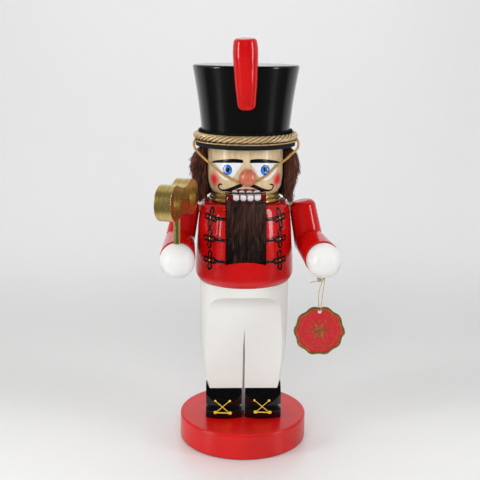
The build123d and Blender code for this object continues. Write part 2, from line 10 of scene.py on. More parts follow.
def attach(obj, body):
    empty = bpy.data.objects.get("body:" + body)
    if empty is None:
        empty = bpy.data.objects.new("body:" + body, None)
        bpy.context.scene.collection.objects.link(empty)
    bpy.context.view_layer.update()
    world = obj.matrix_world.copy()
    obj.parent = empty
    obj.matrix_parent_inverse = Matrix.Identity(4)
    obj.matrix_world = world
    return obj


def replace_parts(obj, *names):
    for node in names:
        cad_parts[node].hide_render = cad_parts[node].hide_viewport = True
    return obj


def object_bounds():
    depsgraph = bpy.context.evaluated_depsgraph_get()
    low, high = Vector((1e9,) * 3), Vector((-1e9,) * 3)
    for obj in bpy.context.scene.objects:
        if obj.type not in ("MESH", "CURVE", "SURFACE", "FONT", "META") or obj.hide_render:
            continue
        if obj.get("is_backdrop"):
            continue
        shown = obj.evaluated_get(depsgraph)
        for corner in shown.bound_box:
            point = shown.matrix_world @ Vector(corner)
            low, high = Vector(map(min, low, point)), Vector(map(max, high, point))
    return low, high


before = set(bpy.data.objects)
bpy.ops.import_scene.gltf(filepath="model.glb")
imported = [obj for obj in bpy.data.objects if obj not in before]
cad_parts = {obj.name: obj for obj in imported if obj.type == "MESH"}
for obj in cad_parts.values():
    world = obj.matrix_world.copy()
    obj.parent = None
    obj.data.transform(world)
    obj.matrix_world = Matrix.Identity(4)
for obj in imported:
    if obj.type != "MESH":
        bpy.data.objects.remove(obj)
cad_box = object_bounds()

# All shapes below are worked out in millimetres and made in metres. +Z is up, the figure faces -Y.
MM = 0.001
SEED = 7
UP = np.array([0.0, 0.0, 1.0])
RIGHT = np.array([1.0, 0.0, 0.0])

# ---- camera and studio ----
CAMERA_DISTANCE = 0.902
CAMERA_HEIGHT = 0.4205
CAMERA_AZIMUTH = math.radians(-2.0)
CAMERA_PITCH = math.radians(12.86)
CAMERA_ROLL = math.radians(0.58)
CAMERA_SHIFT = -0.00917
LENS_MM = 67.02

# ---- figure ----
HEAD_R = 38.4
JAW_R = 42.5
COAT_R = 48.0            # the coat's radius that distances round it are measured on
BEARD_HALF = 19.3
BEARD_BOTTOM = 200.4
BEARD_PAD_TOP = 262.4
BRIM_TOP = 319.4
ROPE_RING_R = 49.0
ROPE_Z = 323.5
ROPE_R = 3.75
KEY_AXIS_TURN = 19.0     # degrees that bring the key's flat sides square to X
CHEEK = (37.5, 281.5)    # the rouge: measured round the head, and from the floor
CHEEK_SIZE = (11.0, 10.5)
PAINT = 0.12             # how far a first coat of paint stands proud
SUNK = 0.06              # how far the rim of a coat of paint lies under the surface


# ---- meshes ----

def placed(name, data):
    """A new object in the scene."""
    thing = bpy.data.objects.new(name, data)
    bpy.context.scene.collection.objects.link(thing)
    return thing


class Shape:
    """Millimetre points and faces gathered from several parts of one piece."""

    def __init__(self):
        self.points, self.faces, self.uvs, self.tones = [], [], [], []
        self.count = 0

    def add(self, points, faces, uvs=None, tones=None):
        points = np.asarray(points, float)
        self.points.append(points)
        self.faces.extend([i + self.count for i in face] for face in faces)
        self.uvs.append(np.zeros((len(points), 2)) if uvs is None else np.asarray(uvs, float))
        self.tones.append(np.zeros(len(points)) if tones is None else np.asarray(tones, float))
        self.count += len(points)

    def piece(self, name, material, slot, body="figure"):
        """The mesh object, riding on a body."""
        mesh = bpy.data.meshes.new(name)
        mesh.from_pydata((np.concatenate(self.points) * MM).tolist(), [], self.faces)
        mesh.update()
        mesh.shade_smooth()
        loops = np.zeros(len(mesh.loops), np.int32)
        mesh.loops.foreach_get("vertex_index", loops)
        along = mesh.uv_layers.new(name="along")
        along.data.foreach_set("uv", np.concatenate(self.uvs).astype(np.float32)[loops].ravel())
        tone = mesh.attributes.new("tone", "FLOAT", "POINT")
        tone.data.foreach_set("value", np.concatenate(self.tones).astype(np.float32))
        mesh.materials.append(material)
        piece = placed(name, mesh)
        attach(piece, body)
        return piece


def unit_rows(v):
    return v / np.maximum(np.linalg.norm(v, axis=1), 1e-9)[:, None]


def directions(path, closed):
    """Unit tangents along a path."""
    return unit_rows(np.roll(path, -1, 0) - np.roll(path, 1, 0) if closed else np.gradient(path, axis=0))


def grid_faces(rows, columns, wrap_rows=False, wrap_columns=False, flip=False):
    """Quads between neighbouring rows and columns of points that are stored row by row."""
    faces = []
    for i in range(rows if wrap_rows else rows - 1):
        for k in range(columns if wrap_columns else columns - 1):
            a, b = i * columns + k, i * columns + (k + 1) % columns
            c, d = (i + 1) % rows * columns + (k + 1) % columns, (i + 1) % rows * columns + k
            faces.append([a, d, c, b] if flip else [a, b, c, d])
    return faces


def smooth_path(points, per_leg=8, closed=False):
    """A Catmull-Rom curve through points of any dimension."""
    pts = [np.array(p, float) for p in points]
    if closed:
        pts = [pts[-1]] + pts + [pts[0], pts[1]]
    else:
        pts = [2 * pts[0] - pts[1]] + pts + [2 * pts[-1] - pts[-2]]
    out = []
    for a, b, c, d in zip(pts[:-3], pts[1:-2], pts[2:-1], pts[3:]):
        for k in range(per_leg):
            t = k / per_leg
            out.append(0.5 * (2 * b + (c - a) * t + (2 * a - 5 * b + 4 * c - d) * t ** 2
                              + (3 * b - a - 3 * c + d) * t ** 3))
    if not closed:
        out.append(pts[-2])
    return np.array(out)


def frames(path, closed=False):
    """Unit tangents and two cross directions that turn as little as they can along a path."""
    tangent = directions(path, closed)
    across = np.zeros_like(path)
    last = np.array([0.0, 0.0, 1.0]) if abs(tangent[0][2]) < 0.8 else np.array([0.0, 1.0, 0.0])
    for i in range(len(path)):
        flat = last - tangent[i] * np.dot(last, tangent[i])
        last = flat / np.linalg.norm(flat)
        across[i] = last
    return tangent, across, np.cross(tangent, across)


def tube(shape, path, radius, sides=10, closed=False, lobes=0, lobe_depth=0.0, lobe_twist=0.0):
    """A round or lobed bar along a path, with U round it and V along it."""
    path = np.asarray(path, float)
    n = len(path)
    radius = np.broadcast_to(np.asarray(radius, float), (n,))
    tangent, across, side = frames(path, closed)
    steps = np.linalg.norm(np.diff(path, axis=0), axis=1)
    length = np.concatenate([[0.0], np.cumsum(steps)])
    angle = np.linspace(0, 2 * math.pi, sides, endpoint=False)
    wave = 1 + lobe_depth * np.cos(lobes * angle[None, :] + lobe_twist * length[:, None])
    ring = radius[:, None] * wave
    points = (path[:, None, :] + (ring * np.cos(angle))[..., None] * across[:, None, :]
              + (ring * np.sin(angle))[..., None] * side[:, None, :]).reshape(-1, 3)
    uvs = np.stack([np.broadcast_to(angle / (2 * math.pi), (n, sides)),
                    np.broadcast_to(length[:, None], (n, sides))], -1).reshape(-1, 2)
    faces = grid_faces(n, sides, closed, True)
    if not closed:
        faces.append(list(range(sides))[::-1])
        faces.append([(n - 1) * sides + k for k in range(sides)])
    shape.add(points, faces, uvs)


def twisted(shape, path, radius, strands, pitch, closed=False, sides=10, lobes=6, lobe_depth=0.05, phase=0.0,
            hand=1):
    """A cord laid from several strands that wind round a path."""
    path = np.asarray(path, float)
    tangent, across, side = frames(path, closed)
    steps = np.linalg.norm(np.diff(path, axis=0, append=path[:1] if closed else path[-1:]), axis=1)
    length = np.concatenate([[0.0], np.cumsum(steps)[:-1]])
    total = steps.sum()
    turns = hand * (round(total / pitch) / total if closed else 1 / pitch)
    strand_r = radius * {2: 0.62, 5: 0.37}[strands]
    orbit = radius - strand_r
    for k in range(strands):
        angle = 2 * math.pi * (length * turns + k / strands) + phase
        centre = path + orbit * (np.cos(angle)[:, None] * across + np.sin(angle)[:, None] * side)
        tube(shape, centre, strand_r, sides, closed, lobes, lobe_depth, -2 * math.pi * 2.2 / pitch)


def lathe(profile, low, high, steps, bump=0.0):
    """A turned skin between two angles (degrees from +X), from (radius, z) points of a closed outline."""
    profile = np.asarray(profile, float)
    angle = np.radians(np.linspace(low, high, steps + 1))
    points = []
    for a in angle:
        for r, z in profile:
            p = Vector((r * math.cos(a), r * math.sin(a), z))
            lump = bump * noise.noise(p * 0.16)
            points.append((p.x + lump * math.cos(a), p.y + lump * math.sin(a), p.z))
    m = len(profile)
    faces = grid_faces(steps + 1, m, False, True, True)
    faces.append(list(range(m)))
    faces.append([steps * m + k for k in range(m)][::-1])
    return points, faces


# ---- paint that follows the surface under it ----

class Skin:
    """Finds points on shown CAD surfaces, from flat layout coordinates."""

    def __init__(self, node, layout, radius=1.0):
        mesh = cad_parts[node].data
        points = [v.co / MM for v in mesh.vertices]
        self.tree = BVHTree.FromPolygons(points, [tuple(p.vertices) for p in mesh.polygons])
        self.layout = layout
        self.radius = radius

    def at(self, s, z, lift):
        """The point that lies lift above the surface at (s, z)."""
        if self.layout == "round":
            angle = s / self.radius
            out = Vector((math.sin(angle), -math.cos(angle), 0))
        else:
            out = Vector((0, -1, 0))
        start = out * 90 + Vector((0, 0, z))
        if self.layout == "flat":
            start.x = s
        spot, normal, _, _ = self.tree.ray_cast(start, -out)
        if spot is None:
            raise RuntimeError(f"no surface at {s:.1f}, {z:.1f}")
        if normal.dot(out) < 0:
            normal = -normal
        facing = (normal + out).normalized()
        return np.array(spot + facing * lift)


def to_left(along):
    """Flat directions turned a quarter anticlockwise."""
    return np.stack([-along[:, 1], along[:, 0]], 1)


def inset(outline, distance):
    """The outline moved inwards along its bisectors. Outlines run anticlockwise."""
    pts = np.asarray(outline, float)
    return pts + distance * to_left(directions(pts, True))


def anticlockwise(outline):
    pts = np.asarray(outline, float)
    x, y = pts[:, 0], pts[:, 1]
    area = (x * np.roll(y, -1) - y * np.roll(x, -1)).sum()
    return pts if area > 0 else pts[::-1]


def patch(shape, skin, outline, lift=PAINT, edge=0.22, grid=1.0, dome=0.0):
    """A coat of paint inside an outline: sunk at its rim, proud inside, and domed in its middle if asked."""
    rim = anticlockwise(outline)
    inner = inset(rim, edge)
    low, high = inner.min(0), inner.max(0)
    fill = []
    for x in np.arange(low[0], high[0], grid):
        for y in np.arange(low[1], high[1], grid):
            if depth_inside((x, y), rim) > edge + 0.35 * grid:
                fill.append((x, y))
    flat = [tuple(p) for p in rim] + [tuple(p) for p in inner] + fill
    n = len(rim)
    edges = [(i, (i + 1) % n) for i in range(n)] + [(n + i, n + (i + 1) % n) for i in range(n)]
    coords, _, tris, _, _, _ = delaunay_2d_cdt([Vector(p) for p in flat], edges, [], 1, 1e-5)
    points = []
    for c in coords:
        depth = depth_inside((c.x, c.y), rim)
        rise = min(depth / edge, 1.0)
        crown = dome * (1 - math.exp(-max(depth - edge, 0) / 1.6))
        points.append(skin.at(c.x, c.y, -SUNK + (lift + SUNK) * rise + crown))
    shape.add(points, [list(t) for t in tris])


def depth_inside(point, outline):
    """How far a point is from the outline: positive inside, 0 or less outside."""
    p = np.asarray(point, float)
    a, b = outline, np.roll(outline, -1, 0)
    ab, ap = b - a, p - a
    t = np.clip((ab * ap).sum(1) / np.maximum((ab * ab).sum(1), 1e-12), 0, 1)
    gap = np.linalg.norm(ap - ab * t[:, None], axis=1).min()
    crosses = (a[:, 1] > p[1]) != (b[:, 1] > p[1])
    safe = np.where(np.abs(ab[:, 1]) < 1e-12, 1e-12, ab[:, 1])
    hits = crosses & (p[0] < a[:, 0] + (p[1] - a[:, 1]) / safe * ab[:, 0])
    return gap if hits.sum() % 2 else -gap


STROKE_SECTION = [(-1.0, -1.0), (-0.78, 0.62), (0.0, 1.0), (0.78, 0.62), (1.0, -1.0)]


def stroke(shape, skin, line, lift=PAINT, crown=0.16, per_leg=6, closed=False):
    """A brush stroke through (s, z, width) points, thickest along its middle, with round ends."""
    line = smooth_path(line, per_leg, closed)
    spots, widths = line[:, :2], np.maximum(line[:, 2], 0.05)
    if not closed:
        start = (spots[0] - spots[1]) / np.linalg.norm(spots[0] - spots[1])
        end = (spots[-1] - spots[-2]) / np.linalg.norm(spots[-1] - spots[-2])
        heads, tails = [], []
        for share in (1.0, 0.92, 0.7, 0.4):
            half = math.sqrt(max(1 - share * share, 0.0004))
            heads.append((spots[0] + start * share * widths[0] / 2, widths[0] * half))
            tails.append((spots[-1] + end * share * widths[-1] / 2, widths[-1] * half))
        spots = np.array([h[0] for h in heads] + list(spots) + [t[0] for t in tails[::-1]])
        widths = np.array([h[1] for h in heads] + list(widths) + [t[1] for t in tails[::-1]])
    points = []
    for spot, way, width in zip(spots, to_left(directions(spots, closed)), widths):
        for place, height in STROKE_SECTION:
            rise = -SUNK if height < 0 else lift + crown * height * min(width / 1.5, 1.0)
            flat = spot + way * place * width / 2
            points.append(skin.at(flat[0], flat[1], rise))
    shape.add(points, grid_faces(len(spots), len(STROKE_SECTION), closed, False, True))


def swung(x, z, u, v, angle):
    """The point that lies (u, v) from (x, z), swung about (x, z) by an angle."""
    return (x + u * math.cos(angle) - v * math.sin(angle), z + u * math.sin(angle) + v * math.cos(angle))


def ellipse(x, z, rx, rz, steps=28):
    angles = [2 * math.pi * k / steps for k in range(steps)]
    return [(x + rx * math.cos(a), z + rz * math.sin(a)) for a in angles]


# ---- materials ----

class Look:
    """A node material, built up a step at a time. Lengths of patterns are in metres."""

    def __init__(self, name, tint):
        self.tint = tint
        self.material = bpy.data.materials.new(name)
        self.material.use_nodes = True
        self.tree = self.material.node_tree
        self.shader = self.tree.nodes["Principled BSDF"]
        self.where = self.add("ShaderNodeTexCoord").outputs["Object"]
        self.last_bump = None

    def add(self, kind, inputs=None, **settings):
        node = self.tree.nodes.new(kind)
        for key, value in settings.items():
            setattr(node, key, value)
        for key, value in (inputs or {}).items():
            self.feed(node.inputs[key], value)
        return node

    def feed(self, socket, value):
        if isinstance(value, bpy.types.NodeSocket):
            self.tree.links.new(value, socket)
        else:
            socket.default_value = value

    def set(self, **inputs):
        for key, value in inputs.items():
            self.feed(self.shader.inputs[key.replace("_", " ")], value)

    def finished(self, **inputs):
        self.set(**{"Base_Color": self.tint, **inputs})
        return self.material

    def stretched(self, x, y, z, turn=0.0):
        """Pattern space squeezed along each axis, after turning the object about Z."""
        turned = self.add("ShaderNodeVectorRotate", {"Vector": self.where, "Angle": turn},
                          rotation_type="Z_AXIS").outputs[0]
        return self.add("ShaderNodeMapping", {"Vector": turned, "Scale": (x, y, z)}).outputs[0]

    def noise(self, scale, detail=3.0, vector=None, rough=0.55, distort=0.0):
        inputs = {"Vector": vector or self.where, "Scale": scale, "Detail": detail, "Roughness": rough,
                  "Distortion": distort}
        return self.add("ShaderNodeTexNoise", inputs).outputs["Fac"]

    def span(self, value, low, high, to_low, to_high):
        node = self.add("ShaderNodeMapRange", {"Value": value, "From Min": low, "From Max": high,
                                               "To Min": to_low, "To Max": to_high})
        node.interpolation_type = "SMOOTHSTEP"
        return node.outputs[0]

    def math(self, operation, a, b=0.0):
        node = self.add("ShaderNodeMath", {0: a, 1: b}, operation=operation)
        return node.outputs[0]

    def mix(self, share, a, b, kind="MIX"):
        node = self.tree.nodes.new("ShaderNodeMix")
        node.data_type = "RGBA"
        node.blend_type = kind
        self.feed(node.inputs[0], share)
        self.feed(node.inputs[6], a)
        self.feed(node.inputs[7], b)
        return node.outputs[2]

    def over(self, colour, pattern, low, high, share, start=0.0):
        """Lays a colour over the tint: start of it where the pattern is low, share where it is high."""
        self.tint = self.mix(self.span(pattern, low, high, start, share), self.tint, colour)

    def corners(self, distance, samples=4):
        """1 in the open, lower where surfaces meet."""
        return self.add("ShaderNodeAmbientOcclusion", {"Distance": distance}, samples=samples).outputs["AO"]

    def axes(self, vector=None):
        return self.add("ShaderNodeSeparateXYZ", {0: vector or self.where}).outputs

    def far(self, a, b):
        """The length of (a, b)."""
        return self.math("SQRT", self.math("ADD", self.math("MULTIPLY", a, a), self.math("MULTIPLY", b, b)))

    def bump(self, height, distance, strength=1.0):
        node = self.add("ShaderNodeBump", {"Height": height, "Distance": distance, "Strength": strength})
        if self.last_bump is not None:
            self.tree.links.new(self.last_bump, node.inputs["Normal"])
        self.last_bump = node.outputs[0]
        self.tree.links.new(self.last_bump, self.shader.inputs["Normal"])


def rgb(red, green, blue):
    """Linear colour from the usual 0 to 255 values."""
    out = []
    for value in (red, green, blue):
        c = value / 255
        out.append(c / 12.92 if c <= 0.04045 else ((c + 0.055) / 1.055) ** 2.4)
    return (*out, 1.0)


def lacquer(name, colour, deep, rough=0.26, coat=0.7, peel=1.0, turned=0.0, corner_shade=0.5, haze=0.04):
    """Brushed and sprayed paint on wood: uneven film, faint scratches, specks, and painted shade in corners.
    """
    look = Look(name, colour)
    cloud = look.noise(22.0, 3.0)
    look.over(deep, cloud, 0.3, 0.75, 0.4)
    look.over(deep, look.noise(1500.0, 1.0), 0.72, 0.82, 0.06)
    # painted shade: the paint darkens toward near-black in corners and creases, where surfaces meet
    look.over(look.mix(0.75, deep, (0.01, 0.006, 0.004, 1.0)), look.corners(0.006), 0.15, 0.85, 0.0, corner_shade)
    scratch = look.noise(140.0, 2.0, look.stretched(1.0, 1.0, 14.0))
    fine = look.noise(900.0, 2.0)
    worn = look.math("ADD", look.span(scratch, 0.45, 0.8, 0.0, 0.05), look.span(fine, 0.4, 0.8, 0.0, 0.03))
    look.bump(look.noise(330.0, 2.0), 0.00010 * peel, 0.25)
    look.bump(look.noise(60.0, 2.0), 0.00035 * peel, 0.25)
    look.bump(scratch, 0.00003, 0.4)
    if turned:
        rings = look.noise(420.0, 2.0, look.stretched(0.02, 0.02, 1.0))
        look.bump(rings, 0.00006 * turned, 0.5)
    return look.finished(Roughness=look.math("ADD", worn, rough), Coat_Weight=coat,
                         Coat_Roughness=look.span(cloud, 0.3, 0.8, haze, haze + 0.04), IOR=1.45,
                         Specular_IOR_Level=0.18)


def gilt(name, axis, colour, deep, rough=0.26, streak=1.0, turn=0.0, flakes=0.25):
    """Gold paint with the marks of the brush or the lathe along one direction, and painted shade in its
    corners.
    """
    look = Look(name, colour)
    lines = look.noise(40.0, 5.0, look.stretched(*axis, turn), 0.7)
    fine = look.noise(330.0, 3.0, look.stretched(*axis, turn), 0.6)
    look.over(deep, lines, 0.3, 0.75, 0.8)
    look.over(deep, look.noise(45.0, 3.0), 0.45, 0.8, 0.15)
    look.over(rgb(246, 230, 170), look.noise(2600.0, 1.0), 0.62, 0.75, flakes)
    # painted shade: dark brown where surfaces meet
    look.over(rgb(70, 42, 12), look.corners(0.004), 0.1, 0.8, 0.0, 0.7)
    look.bump(lines, 0.00008 * streak, 0.35)
    look.bump(fine, 0.00003 * streak, 0.5)
    return look.finished(Metallic=0.92, Coat_Weight=0.15, Coat_Roughness=0.2,
                         Roughness=look.span(lines, 0.25, 0.8, rough - 0.05, rough + 0.10))


def face_wood():
    """Pale turned wood under clear lacquer, upright grain, with soft rouge on both cheeks."""
    look = Look("face_wood", rgb(232, 209, 170))
    grain = look.noise(70.0, 5.0, look.stretched(5.0, 5.0, 0.35), 0.65, 0.6)
    pores = look.noise(420.0, 2.0, look.stretched(6.0, 6.0, 0.5))
    look.over(rgb(208, 180, 136), grain, 0.3, 0.75, 1.0)
    band = look.noise(16.0, 3.0, look.stretched(6.0, 6.0, 0.5), 0.5, 0.4)
    look.over(rgb(220, 192, 150), band, 0.35, 0.7, 0.5)
    look.over(rgb(150, 108, 66), pores, 0.60, 0.78, 0.30)
    x, y, z = look.axes()
    turn = look.math("ARCTAN2", look.math("ABSOLUTE", x), look.math("MULTIPLY", y, -1.0))
    s = look.math("MULTIPLY", turn, HEAD_R * MM)
    wide = look.math("DIVIDE", look.math("SUBTRACT", s, CHEEK[0] * MM), CHEEK_SIZE[0] * MM)
    tall = look.math("DIVIDE", look.math("SUBTRACT", z, CHEEK[1] * MM), CHEEK_SIZE[1] * MM)
    mottle = look.math("ADD", look.far(wide, tall), look.span(look.noise(260.0, 3.0), 0.3, 0.7, -0.05, 0.05))
    look.over(rgb(226, 12, 52), mottle, 0.2, 1.05, 0.0, 0.97)
    look.bump(grain, 0.00012, 0.4)
    look.bump(pores, 0.00005, 0.6)
    return look.finished(Roughness=look.span(grain, 0.3, 0.8, 0.30, 0.42), Coat_Weight=0.45,
                         Coat_Roughness=look.span(look.noise(50.0), 0.3, 0.8, 0.10, 0.2),
                         Subsurface_Weight=0.04)


def nose_wood():
    """Stained wood, redder than the face, under a glossy lacquer."""
    look = Look("nose_wood", rgb(212, 124, 96))
    grain = look.noise(120.0, 4.0, look.stretched(3.0, 1.0, 1.0), 0.6, 0.5)
    look.over(rgb(190, 92, 66), grain, 0.3, 0.75, 1.0)
    look.over(rgb(150, 60, 42), look.noise(700.0, 2.0), 0.6, 0.75, 0.4)
    look.bump(grain, 0.0001, 0.5)
    look.bump(look.noise(300.0), 0.00012, 0.4)
    return look.finished(Roughness=look.span(grain, 0.3, 0.8, 0.26, 0.36), Coat_Weight=0.7,
                         Coat_Roughness=0.09, Subsurface_Weight=0.05)


def bare_wood(name, light, dark):
    look = Look(name, light)
    grain = look.noise(80.0, 5.0, look.stretched(4.0, 4.0, 0.6), 0.6, 0.4)
    look.over(dark, grain, 0.3, 0.75, 1.0)
    look.bump(grain, 0.0002, 0.5)
    return look.finished(Roughness=look.span(grain, 0.3, 0.8, 0.5, 0.68))


def steel():
    look = Look("pin_steel", (0.62, 0.62, 0.63, 1))
    lines = look.noise(300.0, 3.0, look.stretched(0.1, 4.0, 4.0))
    look.bump(lines, 0.00004, 0.5)
    return look.finished(Base_Color=look.mix(lines, look.tint, (0.45, 0.45, 0.46, 1)), Metallic=1.0,
                         Roughness=look.span(lines, 0.3, 0.8, 0.22, 0.38))


def fur_look(name, dark, light, sheen):
    """Animal-like pile: each hair its own tone, paler and redder toward its tip."""
    look = Look(name, dark)
    tone = look.add("ShaderNodeAttribute", attribute_name="tone").outputs["Fac"]
    cloud = look.noise(70.0, 3.0, look.stretched(1.0, 1.0, 0.5))
    mixed = look.math("ADD", tone, look.span(cloud, 0.3, 0.7, -0.18, 0.18))
    look.over(light, mixed, 0.0, 1.0, 1.0)
    look.bump(look.noise(1200.0, 2.0), 0.00005, 0.4)
    return look.finished(Roughness=look.span(cloud, 0.3, 0.7, 0.42, 0.58), Sheen_Weight=sheen,
                         Sheen_Roughness=0.35, Sheen_Tint=rgb(190, 140, 110), IOR=1.5)


def twill():
    """Black ribbon with diagonal ribs and pale lint."""
    look = Look("black_twill", (0.004, 0.004, 0.004, 1))
    wave = {"Vector": look.where, "Scale": 330.0, "Distortion": 1.2, "Detail": 2.0}
    ribs = look.add("ShaderNodeTexWave", wave, wave_type="BANDS", bands_direction="DIAGONAL").outputs["Fac"]
    fuzz = look.noise(1400.0, 3.0)
    look.tint = look.mix(ribs, look.tint, (0.014, 0.014, 0.015, 1))
    look.over((0.04, 0.038, 0.036, 1), fuzz, 0.58, 0.78, 0.4)
    look.bump(ribs, 0.0003, 0.6)
    look.bump(fuzz, 0.0002, 0.5)
    return look.finished(Roughness=look.span(fuzz, 0.3, 0.7, 0.62, 0.85), Sheen_Weight=0.03,
                         Specular_IOR_Level=0.2)


def gold_cord(name, low, high, metal, crease_shade):
    """Metallic yarn: filaments wound round each strand, with painted shade where strands meet."""
    look = Look(name, low)
    u, v, _ = look.axes(look.add("ShaderNodeUVMap", uv_map="along").outputs[0])
    lay = look.math("ADD", look.math("MULTIPLY", u, 6.0), look.math("MULTIPLY", v, 1.6))
    thread = look.math("PINGPONG", lay, 0.5)
    cloud = look.noise(260.0, 3.0)
    look.over(high, thread, 0.0, 0.35, 1.0)
    look.over(low, cloud, 0.35, 0.75, 0.3)
    # painted shade: dark brown in the creases between strands
    look.over(rgb(66, 28, 4), look.corners(0.0028, 6), 0.35, 0.9, 0.0, crease_shade)
    look.bump(look.span(thread, 0.0, 0.5, 0.0, 1.0), 0.0001, 0.5)
    look.bump(look.noise(2200.0, 2.0), 0.00004, 0.5)
    return look.finished(Metallic=metal, Roughness=look.span(cloud, 0.3, 0.8, 0.26, 0.38),
                         Coat_Weight=0.4, Coat_Roughness=0.15)


def card():
    """Printed board with a laid texture."""
    look = Look("tag_card", rgb(206, 28, 38))
    fibre = look.noise(700.0, 4.0)
    weave = look.add("ShaderNodeTexVoronoi", {"Vector": look.where, "Scale": 1500.0})
    look.over(rgb(176, 16, 26), fibre, 0.35, 0.7, 1.0)
    look.bump(weave.outputs["Distance"], 0.00012, 0.6)
    look.bump(fibre, 0.00008, 0.6)
    return look.finished(Roughness=look.span(fibre, 0.3, 0.8, 0.42, 0.6), Coat_Weight=0.15,
                         Coat_Roughness=0.3)


def iris_look():
    """Bright blue paint, darker toward each iris's rim and toward its top."""
    look = Look("iris_paint", rgb(50, 146, 242))
    cloud = look.noise(500.0, 3.0)
    x, y, z = look.axes()
    side = look.math("SUBTRACT", look.math("ABSOLUTE", x), IRIS_X * MM)
    rise = look.math("SUBTRACT", z, IRIS[1] * MM)
    look.over(rgb(26, 108, 224), cloud, 0.3, 0.7, 1.0)
    look.over(rgb(6, 36, 130), look.far(side, rise), 0.0036, 0.0056, 0.85)
    look.tint = look.mix(look.math("MULTIPLY", look.span(rise, -0.002, 0.005, 0.0, 1.0), 0.45), look.tint,
                         rgb(8, 34, 120))
    look.bump(cloud, 0.00008, 0.4)
    return look.finished(Roughness=look.span(cloud, 0.3, 0.7, 0.18, 0.26), Coat_Weight=0.9,
                         Coat_Roughness=0.05)


RED = rgb(206, 13, 14)
RED_DEEP = rgb(150, 6, 9)
BLACK = (0.003, 0.003, 0.0033, 1.0)
BLACK_DEEP = (0.002, 0.002, 0.002, 1.0)

# every lacquer below is darkened in its corners as painted shade, some more than others
red_base = lacquer("red_lacquer_base", rgb(214, 16, 15), RED_DEEP, 0.36, 0.45, haze=0.22)
red = lacquer("red_lacquer", RED, RED_DEEP, 0.24, 0.65)
red_turned = lacquer("red_lacquer_turned", RED, RED_DEEP, 0.24, 0.65, turned=1.0)
white = lacquer("white_lacquer", rgb(232, 232, 228), rgb(224, 223, 218), 0.34, 0.35, corner_shade=0.12)
white_hand = lacquer("white_lacquer_hand", rgb(232, 232, 230), rgb(226, 226, 222), 0.32, 0.4, corner_shade=0.2)
black = lacquer("black_lacquer", BLACK, BLACK_DEEP, 0.22, 0.6, turned=0.6, corner_shade=0.2)
shoe_black = lacquer("black_lacquer_shoe", BLACK, BLACK_DEEP, 0.24, 0.5, corner_shade=0.2)
black_paint = lacquer("black_paint", (0.004, 0.004, 0.004, 1), BLACK_DEEP, 0.32, 0.35, 0.6, corner_shade=0.1)
white_paint = lacquer("white_paint", rgb(240, 240, 240), rgb(228, 228, 230), 0.26, 0.6, 0.6, corner_shade=0.12)
tooth_paint = lacquer("tooth_paint", rgb(232, 232, 236), rgb(212, 212, 220), 0.24, 0.7, 0.7, corner_shade=0.3)
# a greyer copy of the tooth paint for the upper teeth and the ledge: painted shade
shaded_tooth_paint = lacquer("shaded_tooth_paint", rgb(226, 222, 228), rgb(196, 190, 198), 0.26, 0.6, 0.7,
                            corner_shade=0.2)
maroon = lacquer("maroon_lacquer", rgb(112, 12, 14), rgb(76, 5, 7), 0.24, 0.7, corner_shade=0.4)
gold_key = gilt("gold_paint_key", (16.0, 0.3, 0.3), rgb(232, 208, 128), rgb(186, 148, 72),
                turn=math.radians(KEY_AXIS_TURN), flakes=0.1)
gold_stem = gilt("gold_paint_stem", (8.0, 8.0, 0.2), rgb(216, 196, 120), rgb(176, 150, 78), flakes=0.1)
gold_collar = gilt("gold_paint_collar", (0.6, 0.6, 22.0), rgb(236, 206, 128), rgb(176, 132, 56), streak=1.4)
gold_line = lacquer("gold_paint_line", rgb(238, 204, 74), rgb(202, 156, 40), 0.3, 0.5, 0.6, corner_shade=0.1)
foil = gilt("gold_foil", (6.0, 6.0, 6.0), rgb(206, 172, 92), rgb(140, 108, 44), 0.36, 1.2)
face = face_wood()
nose = nose_wood()
beech = bare_wood("beech", rgb(206, 168, 122), rgb(176, 134, 88))
pin = steel()
hair_fur = fur_look("hair_fur", rgb(34, 14, 12), rgb(168, 98, 82), 0.2)
beard_fur = fur_look("beard_fur", rgb(12, 6, 6), rgb(104, 62, 52), 0.08)
ribbon = twill()
cord = gold_cord("gold_cord", rgb(186, 124, 48), rgb(255, 236, 184), 0.6, 1.0)
chin_gold = gold_cord("gold_chin_cord", rgb(196, 140, 60), rgb(238, 192, 112), 0.35, 0.45)
thread_gold = gold_cord("gold_thread", rgb(176, 150, 84), rgb(226, 204, 130), 0.45, 0.3)
board = card()


# ---- paint on the CAD pieces ----

FINISH = [
    (beech, "leg_dowels waist_dowels neck_dowels hat_dowel shoulder_dowels hand_dowels"),
    (red, "pin_plug lever_handle plume right_upper_arm left_upper_arm right_forearm left_forearm"),
    (white_hand, "right_hand left_hand"), (shoe_black, "right_shoe left_shoe"), (red_base, "base_disc"),
    (white, "trouser_block"), (red_turned, "torso"), (pin, "lever_pin"), (maroon, "jaw_block"),
    (gold_collar, "collar_ring"), (face, "head"), (nose, "nose_ball"), (ribbon, "hat_brim"),
    (black, "hat_crown"), (gold_stem, "key_stem"), (gold_key, "key_bow"), (board, "hang_tag"),
]


def paint_nodes():
    for material, nodes in FINISH:
        for node in nodes.split():
            mesh_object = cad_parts[node]
            if not mesh_object.material_slots:
                mesh_object.data.materials.append(material)
            for place in mesh_object.material_slots:
                place.material = material


# ---- face ----

